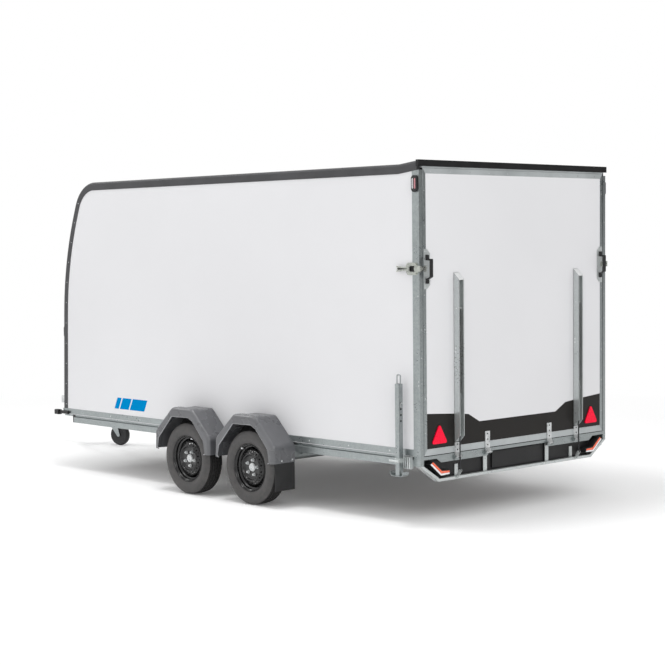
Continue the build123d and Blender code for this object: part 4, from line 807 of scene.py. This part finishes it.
def buildHeader():
    # header with a stop for the ramp behind it, and the rubber lip over both; gives the ramp's top
    low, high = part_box("rear_header")
    faceLow = high.z - rearEnd["headerShow"]
    stop = high.x - rearEnd["stopDepth"]
    mesh = bmesh.new()
    profile = [(rearFace, high.z), (high.x, high.z), (high.x, low.z), (stop, low.z), (stop, faceLow),
        (rearFace, faceLow)]
    addPrism(mesh, profile, "y", -high.y, high.y)
    piece = finishPiece("headerRail", mesh, millAluminium, "chassis", bevel=0.001)
    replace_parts(piece, "rear_header")
    near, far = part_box("roof_rear_lip")
    under, edge = high.z - rearEnd["lipOver"], rearFace - 0.001
    mesh = bmesh.new()
    profile = [(far.x, far.z), (near.x, far.z), (near.x, under), (edge, under), (edge, high.z),
        (far.x, high.z)]
    addPrism(mesh, profile, "y", near.y, far.y)
    piece = finishPiece("rearLipCap", mesh, lipRubber, "chassis", bevel=0.0015)
    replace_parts(piece, "roof_rear_lip")
    return faceLow - rearEnd["topSeam"]


def buildRearEnd():
    # the ramp's mitred frame reaches up under the roof's lip, in front of the header's stop
    high = buildHeader()
    foot, side, top = (rearEnd[key] for key in ("footBar", "sideBar", "topBar"))
    inner, back = rampHalf - side, rearFace + rearEnd["thick"]
    mesh = bmesh.new()
    for y in (1, -1):
        stile = [(rampHalf, rampLow), (rampHalf, high), (inner, high - top), (inner, rampLow + foot)]
        addPrism(mesh, [(y * a, b) for a, b in stile], "x", rearFace, back)
    piece = finishPiece("rampStiles", mesh, galvanised, "ramp", bevel=0.0014)
    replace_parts(piece, "ramp_frame")
    mesh = bmesh.new()
    for z, bar in ((high, -top), (rampLow, foot)):
        rail = [(-rampHalf, z), (rampHalf, z), (inner, z + bar), (-inner, z + bar)]
        addPrism(mesh, rail, "x", rearFace, back)
    finishPiece("rampRails", mesh, millAluminium, "ramp", bevel=0.0014)
    lap = rearEnd["skinLap"]
    low, tall = rampLow + foot - lap, high - top + lap
    front, deep, last = (rearFace + rearEnd[key] for key in ("recess", "skinBack", "treadBack"))
    mesh = bmesh.new()
    addPrism(mesh, rectangle(-inner - lap, low, inner + lap, tall), "x", front, deep)
    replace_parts(finishPiece("rampSkin", mesh, gelcoat, "ramp"), "ramp_panel")
    clear = rearEnd["sealClear"]
    near, far = (rearFace + depth for depth in rearEnd["seal"])
    edge, outer = rampHalf + rearEnd["sealGap"], rampHalf + rearEnd["seam"] - clear
    under = rampLow - rearEnd["seam"] + clear
    mesh = bmesh.new()
    for y in (1, -1):
        addPrism(mesh, rectangle(y * edge, rampLow, y * outer, high), "x", near, far)
    addPrism(mesh, rectangle(-rampHalf, under, rampHalf, under + rearEnd["sealWide"]), "x", near, far)
    finishPiece("rampSeal", mesh, lipRubber, "chassis")
    half = inner - rearEnd["treadGap"]
    mesh = bmesh.new()
    addPrism(mesh, rectangle(-half, low, half, tall), "x", deep, last)
    finishPiece("rampTread", mesh, floorPly, "ramp")


def buildFilms():
    # black film along the ramp's foot, and three slanted blue bars on each side
    band = {"lap": 0.001, "thick": 0.0004,
        "top": ((1.0, 0.785), (0.70, 0.765), (0.55, 0.750), (0.433, 0.688))}
    inner = rampHalf - rearEnd["sideBar"] - band["lap"]
    low = rampLow + rearEnd["footBar"] + band["lap"]
    half = [(inner, low)] + [(min(y, inner), z) for y, z in band["top"]]
    skin = rearFace + rearEnd["recess"]
    mesh = bmesh.new()
    addPrism(mesh, [(-inner, low)] + half + mirrored(half[1:]), "x", skin - band["thick"], skin + 0.001)
    finishPiece("rampBand", mesh, blackFilm, "ramp")
    bars = {"low": 0.583, "high": 0.679, "slant": 0.047, "thick": 0.0004, "widths": (0.060, 0.126, 0.204),
        "gap": 0.016, "start": 3.605}
    mesh = bmesh.new()
    x = rearFace + bars["start"]
    for width in bars["widths"]:
        foot = [(x, bars["low"]), (x - width, bars["low"])]
        head = [(x - width - bars["slant"], bars["high"]), (x - bars["slant"], bars["high"])]
        for y in bothSides(wallFace):
            addPrism(mesh, foot + head, "y", y, y + math.copysign(bars["thick"], y))
        x -= width + bars["gap"]
    finishPiece("sideBars", mesh, blueFilm, "chassis")


def buildChannels():
    # folded cover over each gas strut: slanted cap, narrow lips, open to the rear and at its foot
    fold = {"half": 0.025, "sheet": 0.0025, "lip": 0.006, "depth": 0.052, "taper": 0.045,
        "footDepth": 0.012, "bolts": (1.228, 1.202), "bolt": (0.006, 0.003), "boltBack": 0.014,
        "pin": (0.025, 1.51), "pinRadius": 0.004, "pinOver": 0.003}
    low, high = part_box("ramp_channels")
    half, back, t = fold["half"], rearFace, fold["sheet"]
    rear, foot, head = back - fold["depth"], low.z + fold["taper"], high.z - fold["depth"]
    cheek = [(back, low.z), (back - fold["footDepth"], low.z), (rear, foot), (rear, head), (back, high.z)]
    cap = [(back, high.z), (rear, head), (rear, head - t), (back, high.z - t)]
    for side, name in sides:
        y = side * (high.y - half)
        mesh = bmesh.new()
        for edge in (y - half, y + half - t):
            addPrism(mesh, cheek, "y", edge, edge + t)
        addPrism(mesh, rectangle(y - half, low.z, y + half, high.z), "x", back - t, back)
        for edge in (y - half, y + half - fold["lip"]):
            addPrism(mesh, rectangle(edge, foot, edge + fold["lip"], head), "x", rear, rear + t)
        piece = finishPiece(f"strutChannel_{name}", mesh, paleZinc, "ramp", bevel=0.0007)
        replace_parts(piece, "ramp_channels")
        mesh = bmesh.new()
        addPrism(mesh, cap, "y", y - half, y + half)
        for z in fold["bolts"]:
            for out in (1, -1):
                addDome(mesh, (back - fold["boltBack"], y + out * half, z), (0, out, 0), *fold["bolt"])
        depth, z = fold["pin"]
        reach = half + fold["pinOver"]
        addTube(mesh, [(back - depth, y - reach, z), (back - depth, y + reach, z)], fold["pinRadius"])
        # the cap, with its bolts and pin, takes the near-white painted highlight
        finishPiece(f"channelCap_{name}", mesh, capPaintedHighlight, "ramp", bevel=0.0006)


def buildHandles():
    # galvanised plate with cut inner corners, and a black bow grip on two pads
    bow = {"plate": 0.003, "wide": 0.062, "cut": 0.030, "pad": 0.012, "grip": 0.012, "half": 0.0135,
        "inset": 0.034, "screw": (0.006, 0.003), "screwEnd": 0.016, "screwEdge": 0.02, "gripFoot": 0.038,
        "gripHead": 0.039}
    low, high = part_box("ramp_handles")
    out, foot = low.x, rearFace - bow["plate"]
    z0, z1 = low.z + bow["gripFoot"], high.z - bow["gripHead"]
    pad, grip = foot - bow["pad"], out + bow["grip"]
    outer = [(foot, z0), (pad, z0), (pad, z0 + 0.028), (out, z0 + 0.046), (out, z1 - 0.032),
        (out + 0.004, z1 - 0.028), (pad, z1 - 0.028), (pad, z1), (foot, z1)]
    hollow = [(foot, z1 - 0.037), (grip, z1 - 0.040), (grip, z0 + 0.050), (pad, z0 + 0.037),
        (foot, z0 + 0.037)]
    for side, name in sides:
        edge, inner, cut = side * high.y, side * (high.y - bow["wide"]), bow["cut"]
        corner = inner + side * cut
        plate = [(edge, low.z), (edge, high.z), (corner, high.z), (inner, high.z - cut),
            (inner, low.z + cut), (corner, low.z)]
        mesh = bmesh.new()
        addPrism(mesh, plate, "x", foot, rearFace)
        for z in (low.z + bow["screwEnd"], high.z - bow["screwEnd"]):
            addDome(mesh, (foot, side * (high.y - bow["screwEdge"]), z), (-1, 0, 0), *bow["screw"])
        piece = finishPiece(f"handlePlate_{name}", mesh, paleZinc, "ramp", bevel=0.0005)
        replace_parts(piece, "ramp_handles")
        y = side * (rampHalf - bow["inset"])
        mesh = bmesh.new()
        addPrism(mesh, outer + hollow, "y", y - bow["half"], y + bow["half"])
        finishPiece(f"handleGrip_{name}", mesh, blackAbs, "ramp", bevel=0.003)


def buildLatches():
    # over-centre latch: plate with two cheeks, fishtail lever, hook, and the ramp's keeper, with a dark
    # well, a dark groove down the lever and two dark holes, all painted shade;
    # outlines are (forward of the rear face, above the latch's middle), depths stand off the body's side
    latch = {"height": 1.793, "plate": (0.010, 0.124, 0.0425), "plateCut": 0.015, "plateSheet": 0.003,
        "cheek": (0.016, 0.112, 0.0250, 0.0385), "cheekEnds": (0.012, 0.02), "cheekDepth": (0.002, 0.014),
        "lever": ((0.080, 0.0120), (0.138, 0.0140), (0.200, 0.0215)), "leverEdge": 0.0095,
        "leverDepth": (0.013, 0.0235), "bladeIn": 0.001, "bladeDepth": (0.0125, 0.0155),
        "groove": ((0.098, 0.0018), (0.192, 0.0060)), "grooveDepth": (0.015, 0.0162),
        "hook": (-0.0145, 0.034, 0.0215, 0.0125), "hookSheet": 0.004, "hookDepth": (0.0035, 0.0075),
        "reach": 0.0315, "hole": 0.0042, "holeInset": 0.016, "holeRise": 0.012,
        "well": (0.046, 0.086, 0.020), "wellNotch": 0.006, "wellDepth": (0.003, 0.006),
        "keeper": (0.983, 1.007, 0.021), "keeperCorner": 0.004, "keeperDepth": (0.0065, 0.003)}
    z0, top, fold = latch["height"], latch["lever"], latch["hook"][0] + latch["hookSheet"]

    def layer(outline, depths):
        # a flat shape on one side of the body, between two depths off it
        near, far = (side * (bodyHalf + depth) for depth in depths)
        addPrism(mesh, shifted(outline, rearFace, z0), "y", near, far)

    def onBoth(half):
        # the closed outline whose upper half is given
        return list(half) + [(x, -z) for x, z in reversed(half)]

    for side, name in sides:
        mesh = bmesh.new()
        x0, x1, h = latch["plate"]
        cut = latch["plateCut"]
        upper = [(x0, h - cut), (x0 + cut, h), (x1 - cut, h), (x1, h - cut)]
        layer(onBoth(upper), (0, latch["plateSheet"]))
        x0, x1, low, high = latch["cheek"]
        front, rear = latch["cheekEnds"]
        for up in (1, -1):
            cheek = [(x0, up * low), (x0 + front, up * high), (x1 - rear, up * high), (x1, up * low)]
            layer(cheek, latch["cheekDepth"])
        for up in (1, -1):
            inner = [(x, up * (z - latch["leverEdge"])) for x, z in reversed(top)]
            layer([(x, up * z) for x, z in top] + inner, latch["leverDepth"])
        layer(onBoth([(x, z - latch["bladeIn"]) for x, z in top]), latch["bladeDepth"])
        x0, x1, wide, narrow = latch["hook"]
        layer(onBoth([(x1, narrow), (fold, wide)]), latch["hookDepth"])
        outer, inner = side * (bodyHalf + latch["hookDepth"][1]), side * (bodyHalf - latch["reach"])
        tongue = [(outer, z0 + wide), (inner, z0 + narrow), (inner, z0 - narrow), (outer, z0 - wide)]
        addPrism(mesh, tongue, "x", rearFace + x0, rearFace + fold)
        piece = finishPiece(f"latchPlate_{name}", mesh, latchZinc, "chassis", bevel=0.0006)
        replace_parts(piece, "toggle_latches")
        # the well, the lever's groove and the two holes: dark sheets and discs of painted shade
        mesh = bmesh.new()
        near, far, h = latch["well"]
        well = [(near, -h), (near + latch["wellNotch"], 0), (near, h), (far, h), (far, -h)]
        layer(well, latch["wellDepth"])
        layer(onBoth(latch["groove"]), latch["grooveDepth"])
        for z in (z0 + latch["holeRise"], z0 - latch["holeRise"]):
            spot = (rearFace + x0, side * (bodyHalf - latch["holeInset"]), z)
            addTurned(mesh, spot, (-1, 0, 0), [(latch["hole"], -0.001), (latch["hole"], 0.0005)], 14)
        finishPiece(f"latchShade_{name}", mesh, blackSteelAndShade, "chassis")
        mesh = bmesh.new()
        inner, outer, h = latch["keeper"]
        near, far = (rearFace - depth for depth in latch["keeperDepth"])
        keeper = rounded(rectangle(side * inner, z0 - h, side * outer, z0 + h), latch["keeperCorner"])
        addPrism(mesh, keeper, "x", near, far)
        finishPiece(f"latchKeeper_{name}", mesh, latchZinc, "ramp", bevel=0.0005)


def buildSideRails():
    # folded side rail: proud lip under the wall, a recessed flute in its shade, lower web and foot flange
    rail = {"sheet": 0.003, "lip": 0.046, "web": 0.052, "flute": 0.018, "back": 0.050, "fall": 0.004,
        "capLap": 0.002}
    low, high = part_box("side_rails")
    webEnd = edgeOf("rail_caps", 0, "x") + rail["capLap"]  # the web ends inside the black end caps
    t, face = rail["sheet"], high.y
    deep, back = face - rail["flute"], face - rail["back"]
    lipFoot, webTop, webEdge = high.z - rail["lip"], low.z + rail["web"], low.z + rail["web"] - rail["fall"]
    lip = [(back, high.z), (face, high.z), (face, lipFoot), (deep, lipFoot), (deep, webTop),
        (deep - t, webTop), (deep - t, lipFoot + t), (face - t, lipFoot + t), (face - t, high.z - t),
        (back, high.z - t)]
    web = [(deep - t, webTop), (face, webEdge), (face, low.z), (back, low.z), (back, low.z + t),
        (face - t, low.z + t), (face - t, webEdge - t), (deep - t, webTop - t)]
    mesh = bmesh.new()
    for side in (1, -1):
        addPrism(mesh, [(side * y, z) for y, z in lip], "x", low.x, high.x)
        addPrism(mesh, [(side * y, z) for y, z in web], "x", low.x, webEnd)
    piece = finishPiece("flutedRails", mesh, galvanised, "chassis", bevel=0.0012)
    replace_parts(piece, "side_rails")


def buildLamps():
    # slanted tail lamps: an orange-red bar over a white one, each along the lamp's bent outline;
    # a bar starts and ends at a share of the way from the outer to the inner line, and stands proud
    lamp = {"outer": ((0.979, 0.431), (0.868, 0.341), (0.769, 0.345)),
        "inner": ((0.943, 0.452), (0.857, 0.383), (0.774, 0.377)), "ends": (0.02, 0.10),
        "bars": ((0.07, 0.38, 0.0012), (0.40, 0.80, 0.0022))}
    face = edgeOf("tail_lamps", 0, "x")
    lenses = ((clearLens, "reverseLens", ""), (amberLens, "tailLens", "lamp_red"))
    for (first, last, proud), (material, name, slot) in zip(lamp["bars"], lenses):
        mesh = bmesh.new()
        for side in (1, -1):
            lines = []
            for share in (first, last):
                row = [Vector(a).lerp(Vector(b), share) for a, b in zip(lamp["outer"], lamp["inner"])]
                row[0] = row[0].lerp(row[1], lamp["ends"][0])
                row[2] = row[2].lerp(row[1], lamp["ends"][1])
                lines.append([(side * p.x, p.y) for p in row])
            addPrism(mesh, lines[0] + lines[1][::-1], "x", face - proud, face + 0.002)
        finishPiece(name, mesh, material, "chassis", bevel=0.0005)
    buildMarkerLenses()


def buildMarkerLenses():
    # side markers high on the rear posts: white towards the front, red towards the rear, in a dark ring
    marker = {"white": (0.0365, 0.0505), "red": (0.0145, 0.0285), "low": 2.342, "high": 2.415,
        "corner": 0.007, "thick": 0.018, "crown": ((1.0, -0.001), (1.0, 0.0005), (0.9, 0.0015))}
    for key, material, slot in (("white", smokedLens, ""), ("red", pinkLens, "lamp_red")):
        x0, x1 = (rearFace + value for value in marker[key])
        outline = rounded(rectangle(x0, marker["low"], x1, marker["high"]), marker["corner"])
        middle = Vector(((x0 + x1) / 2, (marker["low"] + marker["high"]) / 2))
        mesh = bmesh.new()
        for side in (1, -1):
            rings = []
            for share, height in marker["crown"]:
                y = side * (bodyHalf + marker["thick"] + height)
                ring = [middle + (p - middle) * share for p in outline]
                rings.append([(p.x, y, p.y) for p in ring])
            addRings(mesh, rings)
        finishPiece(f"{key}Marker", mesh, material, "chassis")


def buildRearFittings():
    # bolts on the hinge straps; on the legs, dark discs of painted shade in the bores and a pin; rivets
    # through the mud flaps
    bolts = {"inner": (0.352, (0.592, 0.552, 0.512)), "outer": (0.676, (0.545, 0.508)), "strap": 0.006,
        "head": (0.0058, 0.0035)}
    rear = (-1, 0, 0)
    mesh = bmesh.new()
    for y, heights in (bolts["inner"], bolts["outer"]):
        for side in (1, -1):
            for z in heights:
                addDome(mesh, (rearFace - bolts["strap"], side * y, z), rear, *bolts["head"])
    finishPiece("hingeBolts", mesh, blackSteelAndShade, "ramp")
    leg = {"x": 0.158, "half": 0.019, "bores": (0.861, 0.819, 0.777, 0.735), "bore": 0.0078,
        "proud": 0.0001, "pin": 0.005, "pinEnds": (0.004, -0.012), "ring": 0.015, "ringWire": 0.0013,
        "ringDrop": 0.013, "ringBack": 0.010}
    face = rearFace + leg["x"] - leg["half"]
    pinHeight = leg["bores"][0]
    for side, name in sides:
        low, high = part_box(f"support_leg_{name}")
        y = (low.y + high.y) / 2
        # dark discs that paint the shade inside each bore
        mesh = bmesh.new()
        for z in leg["bores"]:
            addTurned(mesh, (face, y, z), rear, [(leg["bore"], -0.001), (leg["bore"], leg["proud"])], 16)
        finishPiece(f"legBoreShade_{name}", mesh, blackSteelAndShade, f"leg_{name}")
        mesh = bmesh.new()
        addTube(mesh, [(face + end, y, pinHeight) for end in leg["pinEnds"]], leg["pin"])
        middle = Vector((face - leg["ringBack"], y, pinHeight - leg["ringDrop"]))
        ring = ringOf(middle, Vector((0, 0, leg["ring"])), Vector((0, leg["ring"], 0)), 20)
        addTube(mesh, ring, leg["ringWire"], 8, closed=True)
        finishPiece(f"legPin_{name}", mesh, brightZinc, f"leg_{name}")
    flap = {"across": (1.084, 1.191), "height": 0.358, "head": (0.008, 0.004)}
    mesh = bmesh.new()
    for y in flap["across"]:
        for side in (1, -1):
            addDome(mesh, (edgeOf("fenders", 0, "x"), side * y, flap["height"]), rear, *flap["head"])
    finishPiece("flapRivets", mesh, brightZinc, "chassis")


def buildFenderEdges():
    # rolled bead round each wheel opening, pale as a painted highlight, and a dark plate behind it that
    # paints the shade inside the arch
    arch = {"ahead": 0.094, "behind": 0.016, "above": 0.108, "bead": 0.0042, "corner": 0.018,
        "shadePlate": 0.003, "shadePlateOut": 0.006, "shadePlateDrop": 0.15, "footRise": 0.0005}
    outer = edgeOf("fenders", 1, "y")
    foot = edgeOf("fenders", 0, "z") + arch["footRise"]
    for end in ("rear", "front"):
        low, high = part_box(f"tyre_{end}_left")
        wheel, radius = (low.x + high.x) / 2, (high.z - low.z) / 2
        front, back = radius + arch["ahead"], -radius - arch["behind"]
        top = 2 * radius + arch["above"]
        drop = top - arch["shadePlateDrop"]
        opening = [(front - 0.022, foot), (front - 0.042, top - 0.246), (front - 0.218, top - 0.064),
            (back + 0.250, top - 0.059), (back + 0.195, top - 0.084), (back + 0.062, top - 0.226),
            (back + 0.038, foot)]
        shadePlate = [(front - 0.006, foot), (front - 0.010, top - 0.192), (front - 0.222, top - 0.006),
            (back + 0.217, top - 0.006), (back + 0.006, top - 0.210), (back + 0.006, foot)]
        shadePlate += [(back + 0.07, foot), (back + 0.12, drop - 0.12), (back + 0.3, drop), (front - 0.3, drop),
            (front - 0.13, drop - 0.12), (front - 0.07, foot)]
        line = [p for p in rounded(opening, arch["corner"]) if p.y >= foot - 1e-6]
        for side, name in sides:
            mesh = bmesh.new()
            y = side * (outer - arch["bead"])
            addTube(mesh, [(wheel + x, y, z) for x, z in line], arch["bead"], 8)
            # the bead's pale colour is a painted highlight
            finishPiece(f"fenderBead_{end}_{name}", mesh, fenderEdgeHighlight, "chassis")
            # a dark plate standing in for the shade inside the arch
            mesh = bmesh.new()
            y = side * (bodyHalf + arch["shadePlateOut"])
            addPrism(mesh, shifted(shadePlate, wheel, 0), "y", y, y + side * arch["shadePlate"])
            finishPiece(f"fenderArchShade_{end}_{name}", mesh, blackAbs, "chassis")


buildRivets()
buildTyres()
buildRims()
buildDrums()
buildWheelTrim()
print("rivets, tyres, rims and wheel trim done")
buildRearEnd()
buildChannels()
buildHandles()
buildLatches()
buildSideRails()
buildLamps()
buildRearFittings()
buildFenderEdges()
buildFilms()
print("rear end, lamps, fittings, fender edges and films done")
